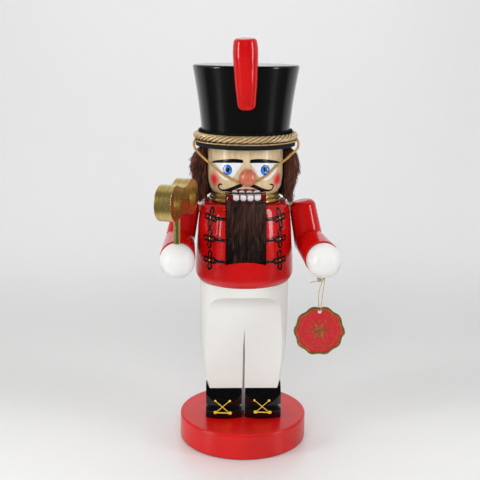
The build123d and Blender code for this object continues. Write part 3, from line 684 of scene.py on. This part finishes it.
BROW = [(5.0, 301.6, 3.7), (9.0, 301.9, 4.1), (14.5, 301.7, 4.1), (22.0, 301.0, 3.6), (30.0, 300.0, 2.9),
        (37.0, 298.9, 2.0), (42.0, 297.8, 0.9)]
EYE = [(4.2, 300.2), (5.6, 296.6), (8.4, 292.2), (11.2, 287.9), (14.1, 284.7), (17.4, 282.8),
       (21.0, 282.2), (24.4, 283.2), (27.8, 285.1), (31.2, 287.6), (34.3, 290.4), (36.8, 293.8),
       (38.6, 297.4), (30.0, 299.3), (20.0, 300.7), (10.0, 301.2)]
IRIS = (19.3, 292.7)     # measured round the head, and from the floor
IRIS_X = 18.5            # the same place, straight across
IRIS_R = 5.4
PUPILS = [(-19.0, 292.6), (19.9, 293.2)]
GLINT_OFF = [(2.2, -1.0), (1.7, 0.2)]
GLINT_R = [(0.40, 0.45), (0.60, 0.85)]
MOUSTACHE = [(5.4, 277.9, 3.9), (9.0, 276.4, 3.9), (13.4, 274.7, 3.5), (18.2, 273.0, 2.8),
             (23.6, 271.6, 2.3), (28.0, 271.4, 2.0), (30.9, 273.0, 1.9), (31.4, 275.4, 1.8),
             (29.2, 277.3, 1.7), (26.6, 277.6, 1.5)]
LIP_FOOT = 269.75
LIP_ARCH = [(22.3, LIP_FOOT), (21.5, 271.2), (18.8, 272.4), (14.3, 273.3), (7.4, 274.2), (0.0, 274.6)]
UPPER_TEETH = [(-15.3, -8.8), (-7.7, -1.2), (-0.2, 6.7), (7.4, 15.6)]
LEDGE_Z = 269.0          # the jaw's top, which stands out below the upper lip
LOWER_TEETH = [(-13.0, -7.1, 263.0), (-5.7, -0.1, 262.9), (1.2, 6.9, 262.8), (8.2, 14.5, 263.1)]
LOWER_TOP = 268.8
TEETH_R = 36.5           # the head's radius behind the upper teeth
LEDGE_INNER_R = 36.2     # where the ledge meets the head
TOOTH_GAP = 0.15


def mirrored(points, side):
    return [(side * p[0], *p[1:]) for p in points]


def paint_face():
    skin = Skin("head", "round", HEAD_R)
    brows, whites, irises, pupils, glints, whiskers, lips, teeth = (Shape() for _ in range(8))
    for side in (-1, 1):
        outline = smooth_path(EYE, 3, True)
        patch(whites, skin, mirrored(outline, side), PAINT, 0.3, 1.3, 0.05)
        patch(irises, skin, ellipse(side * IRIS[0], IRIS[1], IRIS_R, IRIS_R), 0.26, 0.3, 1.0, 0.06)
        stroke(brows, skin, mirrored(BROW, side), 0.22, 0.28)
    for (x, z), (off_x, off_z), (rx, rz) in zip(PUPILS, GLINT_OFF, GLINT_R):
        patch(pupils, skin, ellipse(x, z, 2.6, 2.7, 20), 0.40, 0.2, 0.7, 0.05)
        patch(glints, skin, ellipse(x + off_x, z + off_z, rx, rz, 12), 0.50, 0.12, 0.3)
    brows.piece("brows", black_paint, "black_lacquer")
    whites.piece("eye_whites", white_paint, "white_lacquer")
    irises.piece("irises", iris_look(), "head_wood")
    pupils.piece("pupils", black_paint, "black_lacquer")
    glints.piece("eye_glints", white_paint, "white_lacquer")
    for side in (-1, 1):
        stroke(whiskers, skin, mirrored(MOUSTACHE, side), PAINT, 0.3)
    whiskers.piece("moustache", black_paint, "black_lacquer")
    outline = (LIP_ARCH + [(-x, z) for x, z in LIP_ARCH[-2::-1]]
               + [(x, LIP_FOOT) for x in np.linspace(-15, 15, 9)])
    patch(lips, skin, outline, PAINT, 0.2, 1.0, 0.05)
    lips.piece("upper_lip", maroon, "jaw_wood")
    for low, high in UPPER_TEETH:
        middle, half = (low + high) / 2, (high - low) / 2
        dome = [(middle + half * math.cos(a), 269.7 + 3.1 * math.sin(a) ** 0.6)
                for a in np.linspace(0.0, math.pi, 13)]
        patch(teeth, skin, dome, 0.4, 0.3, 0.9)
    teeth.piece("upper_teeth", shaded_tooth_paint, "white_lacquer")


def paint_jaw():
    skin = Skin("jaw_block", "round", JAW_R)
    teeth = Shape()
    top = LOWER_TOP
    for low, high, foot in LOWER_TEETH:
        middle, half = (low + high) / 2, (high - low) / 2
        outline = [(low + 0.5, top), (low, top - 0.7), (low, foot + 1.8), (low + 0.35 * half, foot + 0.5),
                   (middle, foot), (high - 0.35 * half, foot + 0.5), (high, foot + 1.8), (high, top - 0.7),
                   (high - 0.5, top)]
        patch(teeth, skin, smooth_path(outline, 2, True), 0.22, 0.3, 0.9, 0.16)
    patch(teeth, skin, [(-19.7, 266.8), (-19.7, 263.2), (-18.7, 263.0), (-18.6, 266.6)], 0.14, 0.15, 0.8)
    teeth.piece("lower_teeth", tooth_paint, "white_lacquer", "jaw_lever")
    # the upper row's paint runs on over the ledge
    ledge = Shape()
    for low, high in UPPER_TEETH:
        left, right = (TEETH_R * math.sin(s / HEAD_R) for s in (low, high))
        points, rows = [], 6
        for i in range(rows):
            for j in range(5):
                x = left + TOOTH_GAP + (right - left - 2 * TOOTH_GAP) * j / 4
                reach = LEDGE_INNER_R + (JAW_R - TOOTH_GAP - LEDGE_INNER_R) * i / (rows - 1)
                edge = 0.0 if i in (0, rows - 1) or j in (0, 4) else 0.16
                points.append((x, -math.sqrt(reach * reach - x * x), LEDGE_Z + 0.02 + edge))
        ledge.add(points, [face[::-1] for face in grid_faces(rows, 5)])
    ledge.piece("ledge_teeth", shaded_tooth_paint, "white_lacquer", "jaw_lever")


# ---- coat and shoes ----

FROGS = {1: [(39.3, 244.5, 0.12), (37.8, 223.8, 0.02), (36.6, 202.3, 0.03)],
         -1: [(40.8, 244.5, 0.10), (40.0, 223.6, 0.03), (38.4, 202.0, -0.02)]}
LINE_W = 2.6
LEAF = [(0.06, 0.10), (0.34, 0.66), (0.68, 1.0), (0.92, 0.66), (1.02, 0.0)]     # half of it: reach, spread
LEAF_W = 4.8
LEAF_OUT, LEAF_IN, LEAF_UPRIGHT = 9.4, 7.6, 9.2
BAR_IN = 21.2            # where a frog's bar ends, beside the beard


def loop(skin, shape, x, z, angle, reach, width):
    """One leaf of a frog: a line that leaves the middle and comes back to it."""
    outline = LEAF + [(share, -spread) for share, spread in LEAF[-2::-1]]
    line = [(*swung(x, z, share * reach, spread * width / 2, angle), LINE_W) for share, spread in outline]
    stroke(shape, skin, line, PAINT, 0.22, 4)


def paint_coat():
    skin = Skin("torso", "round", COAT_R)
    loops, dots = Shape(), Shape()
    wobble = np.random.default_rng(SEED)
    for side in (-1, 1):
        right, left = (LEAF_OUT, LEAF_IN) if side > 0 else (LEAF_IN, LEAF_OUT)
        for x, z, lean in FROGS[side]:
            lean = side * lean + wobble.uniform(-0.04, 0.04)
            for quarter, reach in enumerate((right, LEAF_UPRIGHT, left, LEAF_UPRIGHT)):
                jitter = wobble.uniform(0.95, 1.05)
                loop(skin, loops, side * x, z, quarter * math.pi / 2 + lean, reach * jitter, LEAF_W * jitter)
            bar_z = z + 0.2
            bar = [(x - 6.4, bar_z, 2.4), (x - 9.0, bar_z + 0.1, 3.5), (x - 14.0, bar_z + 0.1, 3.4),
                   (BAR_IN, bar_z, 3.2)]
            stroke(loops, skin, mirrored(bar, side), PAINT, 0.22)
            patch(dots, skin, ellipse(side * x, z, 1.2, 1.2, 14), 0.34, 0.3, 0.7, 0.2)
    loops.piece("coat_frogs", black_paint, "black_lacquer")
    dots.piece("frog_dots", gold_line, "gold_paint")


LACES = {"right_shoe": [(-29.8, 46.0), (-14.4, 45.9), (-29.8, 34.2), (-14.1, 33.6)],
         "left_shoe": [(11.5, 46.4), (27.1, 46.2), (12.4, 34.6), (27.7, 34.3)]}


def paint_shoes():
    laces = Shape()
    for node, (tl, tr, bl, br) in LACES.items():
        skin = Skin(node, "flat")
        for a, b, w in ((tl, br, 0.8), (tr, bl, 0.8), (bl, br, 1.35)):
            middle = ((a[0] + b[0]) / 2, (a[1] + b[1]) / 2 + (0.35 if w > 1 else 0.1), w)
            stroke(laces, skin, [(*a, w), middle, (*b, w)], PAINT, 0.2, 8)
        for (x, z), r in ((tl, 1.15), (tr, 1.25), (bl, 1.9), (br, 2.05)):
            patch(laces, skin, ellipse(x, z, r, r * 0.95, 18), 0.22, 0.35, 0.8, 0.25)
    laces.piece("shoe_laces", gold_line, "gold_paint")


# ---- fur ----

def strands(name, roots, start, end, length, thick, tone, random, material, slot="fur", body="figure",
            steps=5, wave=0.2, gather=0.0, per_lock=14):
    """Tapered three-sided hairs that leave along start and settle along end, and draw together into locks."""
    n = len(roots)
    leads = random.permutation(n)[:max(1, n // per_lock)]
    lock = np.array([leads[np.argmin(((roots[leads] - root) ** 2).sum(1))] for root in roots])
    lock_tone = random.normal(0.0, 0.2, n)[lock]
    tone = tone + (lock_tone if gather else 0.0)
    spread = random.normal(0.0, 0.35, (n, 3))
    start, end = unit_rows(start), unit_rows(end)
    swirl = unit_rows(random.normal(size=(n, 3)))
    spin = random.uniform(0, 2 * math.pi, n)
    spine = roots.copy()
    points, tones = [], []
    for k in range(steps + 1):
        t = k / steps
        way = unit_rows(start * (1 - t) ** 1.5 + end * (1 - (1 - t) ** 1.5) + swirl * wave * t)
        if k:
            spine = spine + way * (length / steps)[:, None]
        pull = gather * t ** 1.3
        spot = spine * (1 - pull) + (spine[lock] + spread) * pull
        side = unit_rows(np.cross(way, np.array([0.31, 0.17, 0.93]) + swirl * 0.05))
        up = np.cross(side, way)
        r = thick * (1 - t) ** 0.8 + 0.035
        for corner in range(3):
            a = spin + corner * 2 * math.pi / 3
            points.append(spot + (side * np.cos(a)[:, None] + up * np.sin(a)[:, None]) * r[:, None])
            tones.append(tone * (0.72 + 0.28 * t) + 0.10 * t * t)
    # stored hair by hair, each as rings of three corners
    pattern = np.array(grid_faces(steps + 1, 3, False, True))
    faces = (np.arange(n)[:, None, None] * (steps + 1) * 3 + pattern).reshape(-1, 4)
    shape = Shape()
    shape.add(np.stack(points, 1).reshape(-1, 3), faces.tolist(), None, np.stack(tones, 1).reshape(-1))
    return shape.piece(name, material, slot, body)


WIG_PROFILE = [(45.4, 312.8), (48.6, 308.0), (51.6, 301.0), (52.4, 294.0), (51.0, 284.0), (47.6, 275.0),
               (43.4, 266.0), (41.4, 260.0), (39.3, 260.6), (39.3, 290.0), (39.3, 312.8)]
WIG_RIM = WIG_PROFILE[7::-1]     # its outer side, upwards
WIG_FRONT = 11.0         # degrees ahead of the sides
WIG_LOW, WIG_HIGH = 261.5, 312.0
WIG_INNER_R = 39.6
SHOULDER_CLEAR = 46.2    # the radius at which hair hangs past the shoulders
HAIR_ENDS = 251.0


def wig_radius(z):
    return np.interp(z, [p[1] for p in WIG_RIM], [p[0] for p in WIG_RIM])


def hair_count(full):
    return int(full * (1.0))


def around(angle):
    """Unit directions away from the axis, at angles from +X."""
    return np.stack([np.cos(angle), np.sin(angle), np.zeros(len(angle))], 1)


def hair_fall(r, z, random, shortest, longest, flare):
    """Each hair's lean, outwards per millimetre of drop, and its length, so that none dips into the coat."""
    tip = z - random.uniform(shortest, longest, len(z))
    lowest = np.where(z > 267.0, HAIR_ENDS + random.uniform(0.0, 6.0, len(z)), 259.0)
    tip = np.minimum(np.maximum(tip, lowest), z - 3.0)
    free = tip > 258.5
    rim = np.where(free, wig_radius(tip) - 1.4, SHOULDER_CLEAR) + flare * np.abs(random.normal(0, 1, len(z)))
    return (rim - r) / (z - tip), 1.04 * (z - tip)


def make_wig():
    shape = Shape()
    shape.add(*lathe(WIG_PROFILE, -WIG_FRONT, 180 + WIG_FRONT, 72, 1.6))
    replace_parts(shape.piece("wig_ground", hair_fur, "fur"), "hair_wig")
    random = np.random.default_rng(SEED + 1)
    hair_outside(random)
    for side, name in ((-1, "hair_front_right"), (1, "hair_front_left")):
        hair_front(side, name, random)


def hair_outside(random):
    """The hair over the wig's outside, in three pieces."""
    n = hair_count(8600)
    angle = np.radians(random.uniform(-WIG_FRONT - 0.5, 180.5 + WIG_FRONT, n))
    z = WIG_LOW + (WIG_HIGH - WIG_LOW) * random.uniform(0, 1, n) ** 0.85
    clump = np.array([noise.noise(Vector((a * 9.0, zz * 0.10, 3.1))) for a, zz in zip(angle, z)])
    r = wig_radius(z) - 1.4
    out, round_way = around(angle), around(angle + math.pi / 2)
    roots = out * r[:, None] + UP * z[:, None]
    lean, length = hair_fall(r, z, random, 8.0, 15.0, 2.2)
    begin = (out * (lean + random.uniform(0.5, 2.0, n))[:, None] - UP
             + round_way * (1.4 * clump + random.normal(0, 0.3, n))[:, None])
    finish = (out * (lean + random.normal(0.02, 0.2, n))[:, None] - UP
              + round_way * (1.2 * clump + random.normal(0, 0.3, n))[:, None])
    thick = random.uniform(0.22, 0.38, n)
    tone = np.clip(random.normal(0.34, 0.24, n) + 0.45 * clump, 0, 1)
    part = np.where(angle < math.radians(50), 0, np.where(angle > math.radians(130), 2, 1))
    for index, name in enumerate(("hair_left", "hair_back", "hair_right")):
        rows = [values[part == index] for values in (roots, begin, finish, length, thick, tone)]
        strands(name, *rows, random, hair_fur, gather=0.62, per_lock=11)


def hair_front(side, name, random):
    """The hair over one front edge, beside the face."""
    n = hair_count(1500)
    z = WIG_LOW + (WIG_HIGH + 0.3 - WIG_LOW) * random.uniform(0, 1, n) ** 0.9
    r = WIG_INNER_R + (wig_radius(z) - WIG_INNER_R) * random.uniform(0.0, 1.0, n) ** 0.8
    turn = math.radians(-WIG_FRONT)
    out = np.array([side * math.cos(turn), math.sin(turn), 0.0])
    ahead = np.array([0.2 * side * math.sin(turn), -1.0, 0.0])
    roots = out * r[:, None] + UP * z[:, None] - ahead * 0.8
    lean, length = hair_fall(r, z, random, 10.0, 20.0, 1.2)
    lean = np.where(z > 275.0, 0.4 * lean, lean)
    begin = (ahead * random.uniform(0.25, 1.1, n)[:, None] - UP
             + out * (lean + random.uniform(-0.1, 0.6, n))[:, None])
    finish = (out * (lean + random.normal(0.0, 0.09, n))[:, None] - UP
              + ahead * random.normal(0.04, 0.10, n)[:, None])
    tone = np.clip(random.normal(0.30, 0.24, n), 0, 1)
    strands(name, roots, begin, finish, length, random.uniform(0.22, 0.36, n), tone, random, hair_fur,
            gather=0.6, per_lock=11)


def beard_radius(z):
    """How far the beard's pad stands out from the figure's axis."""
    return 46.8 - 1.2 * max(0.0, (z - 255.0) / 8.0)


def make_beard_pad():
    rows = np.linspace(BEARD_BOTTOM + 0.6, BEARD_PAD_TOP, 16)
    cols = np.linspace(-BEARD_HALF, BEARD_HALF, 15)
    points = []
    for outside in (False, True):
        for z in rows:
            for x in cols:
                lump = 0.5 * noise.noise(Vector((x * 0.3, 0, z * 0.12)))
                r = beard_radius(z) + lump if outside else JAW_R + 0.1
                points.append((x, -math.sqrt(r * r - x * x), z))
    n, m = len(rows), len(cols)
    size = n * m
    faces = grid_faces(n, m, flip=True) + [[k + size for k in face] for face in grid_faces(n, m)]
    rim = [*range(m - 1), *range(m - 1, size - 1, m), *range(size - 1, size - m, -1), *range(size - m, 0, -m)]
    faces += [[a, b, b + size, a + size] for a, b in zip(rim, rim[1:] + rim[:1])]
    shape = Shape()
    shape.add(points, faces, None, np.full(len(points), 0.1))
    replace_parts(shape.piece("beard_ground", beard_fur, "fur", "jaw_lever"), "beard")


def make_beard():
    make_beard_pad()
    random = np.random.default_rng(SEED + 2)
    n = hair_count(5200)
    x = random.uniform(0.2 - BEARD_HALF, BEARD_HALF - 0.2, n)
    z = 207.0 + (263.0 - 207.0) * random.uniform(0, 1, n)
    z[: n // 8] = random.uniform(260.0, 263.6, n // 8)
    z[n // 8: n // 4] = random.uniform(205.0, 212.0, n // 4 - n // 8)
    clump = np.array([noise.noise(Vector((a * 0.35, 7.7, b * 0.03))) for a, b in zip(x, z)])
    r = np.array([beard_radius(min(max(v, 205.0), BEARD_PAD_TOP)) for v in z]) - 0.5
    roots = np.stack([x, -np.sqrt(r * r - x * x), z], 1)
    out = np.stack([x / r, roots[:, 1] / r, np.zeros(n)], 1)
    begin = (out * random.uniform(0.1, 0.6, n)[:, None] - UP
             + RIGHT * (0.5 * clump + random.normal(0, 0.12, n))[:, None])
    sway = 0.22 * clump + random.normal(0, 0.10, n)
    sway = np.where(np.abs(x) > BEARD_HALF - 2.0, -np.sign(x) * np.abs(sway) * 0.6, sway)
    finish = out * random.uniform(-0.04, 0.07, n)[:, None] - UP + RIGHT * sway[:, None]
    length = np.minimum(random.uniform(9.0, 18.0, n), z - BEARD_BOTTOM + random.uniform(-0.9, 0.6, n))
    tone = np.clip(random.normal(0.22, 0.2, n) + 0.3 * clump + 0.34 * (z - 236.0) / 27.0, 0, 1)
    pale_tip = (random.uniform(0, 1, n) < 0.04) & (z > 255)
    strands("beard_hair", roots, begin, finish, np.maximum(length, 1.5), random.uniform(0.2, 0.34, n),
            np.where(pale_tip, 1.0, tone), random, beard_fur, body="jaw_lever", wave=0.05, gather=0.55,
            per_lock=18)


# ---- ropes, cords and ribbon ----

def ring_path(radius, z, steps, ripple=0.0):
    out = []
    for k in range(steps):
        a = 2 * math.pi * k / steps
        lift = ripple * noise.noise(Vector((math.cos(a) * 2.0, math.sin(a) * 2.0, 5.0)))
        out.append(((radius + lift) * math.cos(a), (radius + lift) * math.sin(a), z + 0.5 * lift))
    return np.array(out)


def make_rope():
    shape = Shape()
    twisted(shape, ring_path(ROPE_RING_R, ROPE_Z, 432, 0.5), ROPE_R, 5, 32.0, True, 12, 5, 0.03, 0.0, -1)
    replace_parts(shape.piece("rope", cord, "gold_cord"), "hat_rope")


def make_piping():
    shape = Shape()
    twisted(shape, ring_path(50.9, BRIM_TOP - 0.55, 720, 0.15), 0.85, 2, 3.6, True, 7, 0, 0.0)
    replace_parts(shape.piece("piping", cord, "gold_cord"), "brim_piping")


def make_band():
    """A woven ribbon with a short fringe that stands up behind the rope."""
    shape = Shape()
    section = [(44.5, 0.05), (46.0, 0.05), (46.1, 5.0), (45.7, 9.6), (45.0, 9.8)]
    steps = 144
    points, _ = lathe([(r, BRIM_TOP + z) for r, z in section], 0, 360 - 360 / steps, steps - 1, 0.25)
    shape.add(points, grid_faces(steps, len(section), True, True, True))
    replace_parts(shape.piece("ribbon_band", ribbon, "black_textile"), "hat_band")
    random = np.random.default_rng(SEED + 3)
    count = int(2600 * (1.0))
    out = around(random.uniform(0, 2 * math.pi, count))
    roots = out * random.uniform(45.2, 46.6, count)[:, None]
    roots[:, 2] = BRIM_TOP + random.uniform(6.0, 9.2, count)
    start = out * random.uniform(0.1, 0.9, count)[:, None] + UP
    end = start + random.normal(0, 0.4, (count, 3))
    strands("ribbon_fringe", roots, start, end, random.uniform(1.2, 2.6, count), np.full(count, 0.13),
            random.uniform(0, 1, count), random, ribbon, "black_textile", steps=2, wave=0.5)


CHIN_CORD = {
    -1: [(-47.4, -10.5, 322.6), (-49.6, -13.0, 320.8), (-51.6, -14.6, 317.2), (-50.9, -16.6, 312.4),
         (-48.2, -18.0, 308.8), (-44.2, -20.2, 305.0), (-39.9, -23.6, 301.2)],
    1: [(47.4, -10.5, 322.8), (50.4, -12.6, 321.2), (52.4, -14.4, 317.4), (51.6, -16.4, 312.6),
        (48.6, -18.2, 309.2), (44.0, -20.8, 305.8), (39.9, -24.4, 302.4)],
}
CHEEK_LINES = {-1: [(30.6, 291.8), (24.4, 288.6), (17.0, 285.2), (10.2, 281.9)],
               1: [(30.6, 294.4), (24.4, 290.0), (17.0, 285.6), (10.2, 281.9)]}


def make_chin_cord():
    skin = Skin("head", "round", HEAD_R)
    shape = Shape()
    for side, free in CHIN_CORD.items():
        path = list(free)
        for s, z in CHEEK_LINES[side]:
            path.append(tuple(skin.at(side * s, z, 1.45)))
        path.append(tuple(skin.at(side * 7.0, 280.9, 1.2)))
        twisted(shape, smooth_path(path, 26), 1.35, 2, 5.0, False, 8, 5, 0.02, 0.4)
    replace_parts(shape.piece("chin_cords", chin_gold, "gold_cord"), "chin_cord")


TAG = (73.8, -54.0, 134.0)
HOLE_Z = 154.0
HOLE_R = 2.0


def make_thread():
    """A doubled gilt thread, knotted where it leaves the hand, that loops through the tag."""
    x = TAG[0]
    turn = HOLE_Z + HOLE_R
    loop_path = [(77.3, -54.6, 190.4), (77.4, -55.6, 186.4), (76.3, -56.4, 176.0), (75.3, -56.3, 165.0),
                 (74.5, -56.0, 158.4), (74.0, -55.6, turn - 0.2), (x, -54.7, turn - 1.35),
                 (x, -53.3, turn - 1.35), (x - 0.4, -52.4, turn - 0.2), (73.2, -52.0, 158.6),
                 (72.4, -52.1, 165.0), (72.7, -52.8, 174.0), (74.4, -53.6, 182.0), (76.4, -54.2, 187.6),
                 (76.9, -54.2, 190.4)]
    shape = Shape()
    twisted(shape, smooth_path(loop_path, 14), 0.52, 2, 2.6, False, 6, 0, 0.0)
    knot = []
    for k in range(64):
        a = 2 * math.pi * k / 64
        wide = 1.35 + 0.55 * math.cos(3 * a)
        knot.append((72.4 + wide * math.cos(2 * a), -55.4 + 0.8 * math.sin(3 * a),
                     187.0 + wide * math.sin(2 * a)))
    twisted(shape, np.array(knot), 0.5, 2, 2.6, True, 6, 0, 0.0)
    for end in ([(76.9, -54.8, 189.6), (75.2, -55.4, 188.0), (72.6, -55.6, 187.2)],
                [(72.0, -55.4, 187.2), (69.4, -56.0, 185.6), (66.6, -56.2, 185.4), (63.6, -55.8, 184.4)],
                [(71.8, -55.2, 187.6), (70.6, -56.4, 189.0), (69.8, -56.8, 189.2)]):
        twisted(shape, smooth_path(end, 8), 0.45, 2, 2.6, False, 6, 0, 0.0)
    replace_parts(shape.piece("tag_cord", thread_gold, "gold_cord", "thread"), "tag_thread")


# ---- tag print ----

TAG_FRONT, TAG_BACK = TAG[1] - 0.8, TAG[1] + 0.8


def tag_edge(angle):
    """The card's radius at an angle from +X."""
    return 24.85 + 0.75 * math.cos(10 * angle)


RELIEF_SECTION = [(-0.42, 0.7), (-0.2, 1.0), (0.2, 1.0), (0.42, 0.7)]     # place across, share of the height
RELIEF_SINK = 0.05


def relief(shape, line, closed, height, face_y, out):
    """A raised printed line on the card: (x, z, width) points about the card's centre."""
    pts = np.array([p[:2] for p in line], float)
    width = np.array([p[2] for p in line], float)
    section = [(-0.5, -RELIEF_SINK), *((place, height * share) for place, share in RELIEF_SECTION),
               (0.5, -RELIEF_SINK)]
    points = []
    for p, w, c in zip(pts, width, to_left(directions(pts, closed))):
        for place, lift in section:
            q = p + c * place * w
            points.append((TAG[0] + q[0], face_y + out * lift, TAG[2] + q[1]))
    shape.add(points, grid_faces(len(pts), len(section), closed))


def star_ray(index):
    """One ray of a plain star of twelve, and the small round dot past it."""
    a = math.pi * index / 6
    long_ray = index % 2 == 0
    reach, dot_r = (10.4, 12.6) if long_ray else (6.2, 9.4)
    ray = [(r * math.cos(a), r * math.sin(a), w) for r, w in
           ((1.8, 0.7), (reach * 0.45, 2.0), (reach * 0.8, 1.1), (reach, 0.25))]
    dot = [(dot_r * math.cos(a) + 0.55 * math.cos(b), dot_r * math.sin(a) + 0.55 * math.sin(b), 1.0)
           for b in np.linspace(0, 2 * math.pi, 10, endpoint=False)]
    return ray, dot


def make_tag_print():
    """A border, a ring that is open at the top, a star in its middle and a rule below."""
    angles = [2 * math.pi * k / 240 for k in range(240)]
    border = [((tag_edge(a) - 1.25) * math.cos(a), (tag_edge(a) - 1.25) * math.sin(a), 2.6) for a in angles]
    opened = [a for a in angles if a > math.radians(95.9)] + [a for a in angles if a < math.radians(84.1)]
    ring = [(18.9 * math.cos(a), 18.9 * math.sin(a), 0.45) for a in opened]
    rule = [(x, -14.6 - 0.02 * (64 - x * x) * 0.5, 0.5) for x in np.linspace(-8, 8, 15)]
    shape = Shape()
    for face_y, out in ((TAG_FRONT, -1), (TAG_BACK, 1)):
        relief(shape, border, True, 0.28, face_y, out)
        relief(shape, ring, False, 0.14, face_y, out)
        for index in range(12):
            ray, dot = star_ray(index)
            relief(shape, ray, False, 0.2, face_y, out)
            relief(shape, dot, True, 0.2, face_y, out)
        relief(shape, rule, False, 0.16, face_y, out)
    shape.piece("tag_print", foil, "gold_paint", "tag")


# ---- stage ----

def floor_look():
    """Pale satin board, with painted shade that greys it behind the figure, and painted light that lightens
    it again and makes it glow up the backdrop.
    """
    look = Look("table_top", rgb(237, 237, 236))
    x, y, _ = look.axes()
    look.over(rgb(233, 233, 232), look.noise(2.2, 3.0), 0.3, 0.7, 1.0)
    # painted shade: greyer across the board just behind the figure
    look.over(rgb(218, 218, 217), y, -0.12, 0.16, 1.0)
    # painted light: lighter again further back and up the backdrop
    look.over(rgb(238, 238, 239), y, 0.3, 0.8, 1.0)
    # painted light: the board glows more toward the back and up the curve of the backdrop
    look.set(Base_Color=look.tint, Roughness=look.span(look.noise(9.0), 0.3, 0.7, 0.30, 0.36),
             Coat_Weight=0.25, Coat_Roughness=0.12, Emission_Color=rgb(238, 238, 240),
             Emission_Strength=look.span(y, 0.3, 1.5, 0.0, 0.22))
    look.bump(look.noise(600.0, 2.0), 0.00002, 0.2)
    # painted reflection: to glossy rays the board turns dark a short way from the figure, standing in for the
    # dark studio beyond the table, so polished sides mirror pale board near the figure only
    beyond = look.math("MULTIPLY", look.span(look.far(x, y), 0.12, 0.45, 0.0, 0.9),
                       look.span(y, 0.2, 0.7, 1.0, 0.0))
    mirrored_ray = look.add("ShaderNodeLightPath").outputs["Is Glossy Ray"]
    dark = look.add("ShaderNodeBsdfDiffuse", {"Color": (0.01, 0.01, 0.01, 1.0)})
    both = look.add("ShaderNodeMixShader", {0: look.math("MULTIPLY", beyond, mirrored_ray),
                                            1: look.shader.outputs[0], 2: dark.outputs[0]})
    out = next(n for n in look.tree.nodes if n.type == "OUTPUT_MATERIAL")
    look.tree.links.new(both.outputs[0], out.inputs["Surface"])
    return look.material


def make_stage():
    """A pale table top that curves up into a pale backdrop."""
    profile = [(-2.2, 0.0), (-1.2, 0.0), (-0.4, 0.0), (0.25, 0.0)]
    radius, back = 0.9, 0.55
    for k in range(13):
        a = math.pi / 2 * k / 12
        profile.append((back + radius * math.sin(a), radius * (1 - math.cos(a))))
    profile.append((back + radius, 3.0))
    points, faces = [], []
    for y, z in profile:
        points += [(-4.0, y, z), (4.0, y, z)]
    for i in range(len(profile) - 1):
        faces.append([2 * i, 2 * i + 1, 2 * i + 3, 2 * i + 2])
    mesh = bpy.data.meshes.new("table")
    mesh.from_pydata(points, [], faces)
    mesh.shade_smooth()
    mesh.materials.append(floor_look())
    placed("table", mesh)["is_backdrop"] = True


def add_light(name, place, aim, size, energy, glossy=True):
    data = bpy.data.lights.new(name, "AREA")
    data.shape = "RECTANGLE"
    data.size, data.size_y = size
    data.energy = energy
    light = placed(name, data)
    light.visible_glossy = glossy
    light.visible_camera = False
    light.location = place
    light.rotation_euler = (Vector(aim) - Vector(place)).to_track_quat("-Z", "Y").to_euler()
    light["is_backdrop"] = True


def make_light():
    middle = (0, 0, 0.22)
    add_light("softbox_left", (-1.15, -0.50, 0.52), middle, (0.26, 0.95), 7.0)
    add_light("softbox_right", (1.15, -0.55, 0.52), middle, (0.26, 0.95), 6.0)
    add_light("front_fill", (-0.2, -1.9, 1.1), middle, (1.6, 1.2), 23.0, False)
    add_light("top_fill", (0, 0.1, 1.9), middle, (1.8, 1.4), 15.0, False)
    # the world is dark in front and light behind
    world = bpy.data.worlds.new("studio")
    bpy.context.scene.world = world
    world.use_nodes = True
    tree = world.node_tree
    kinds = ("ShaderNodeTexCoord", "ShaderNodeSeparateXYZ", "ShaderNodeMapRange")
    where, parts, ramp = (tree.nodes.new(kind) for kind in kinds)
    ramp.interpolation_type = "SMOOTHSTEP"
    for key, value in (("From Min", -0.35), ("From Max", 0.65), ("To Min", 0.02), ("To Max", 0.8)):
        ramp.inputs[key].default_value = value
    back = tree.nodes["Background"]
    back.inputs["Color"].default_value = (1.0, 1.0, 1.0, 1.0)
    tree.links.new(where.outputs["Generated"], parts.inputs[0])
    tree.links.new(parts.outputs["Y"], ramp.inputs["Value"])
    tree.links.new(ramp.outputs[0], back.inputs["Strength"])


def add_camera():
    data = bpy.data.cameras.new("camera")
    data.sensor_width = 36.0
    data.lens = LENS_MM
    data.shift_x = CAMERA_SHIFT
    camera = placed("camera", data)
    place = Matrix.Rotation(CAMERA_AZIMUTH, 4, "Z") @ Matrix.Translation((0, -CAMERA_DISTANCE, CAMERA_HEIGHT))
    aim = Matrix.Rotation(math.radians(90) - CAMERA_PITCH, 4, "X") @ Matrix.Rotation(CAMERA_ROLL, 4, "Z")
    camera.matrix_world = place @ aim
    bpy.context.scene.camera = camera
    bpy.context.scene.view_settings.view_transform = "Standard"


def plain(value):
    """Boxes and vectors as plain lists of numbers."""
    if isinstance(value, dict):
        return {key: plain(v) for key, v in value.items()}
    if isinstance(value, (int, float, str)):
        return value
    return [plain(v) for v in value]


paint_nodes()
paint_face()
paint_jaw()
paint_coat()
paint_shoes()
make_wig()
make_beard()
make_rope()
make_piping()
make_band()
make_chin_cord()
make_thread()
make_tag_print()
make_stage()
make_light()
add_camera()
{"cad": plain(cad_box), "scene": plain(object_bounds())}
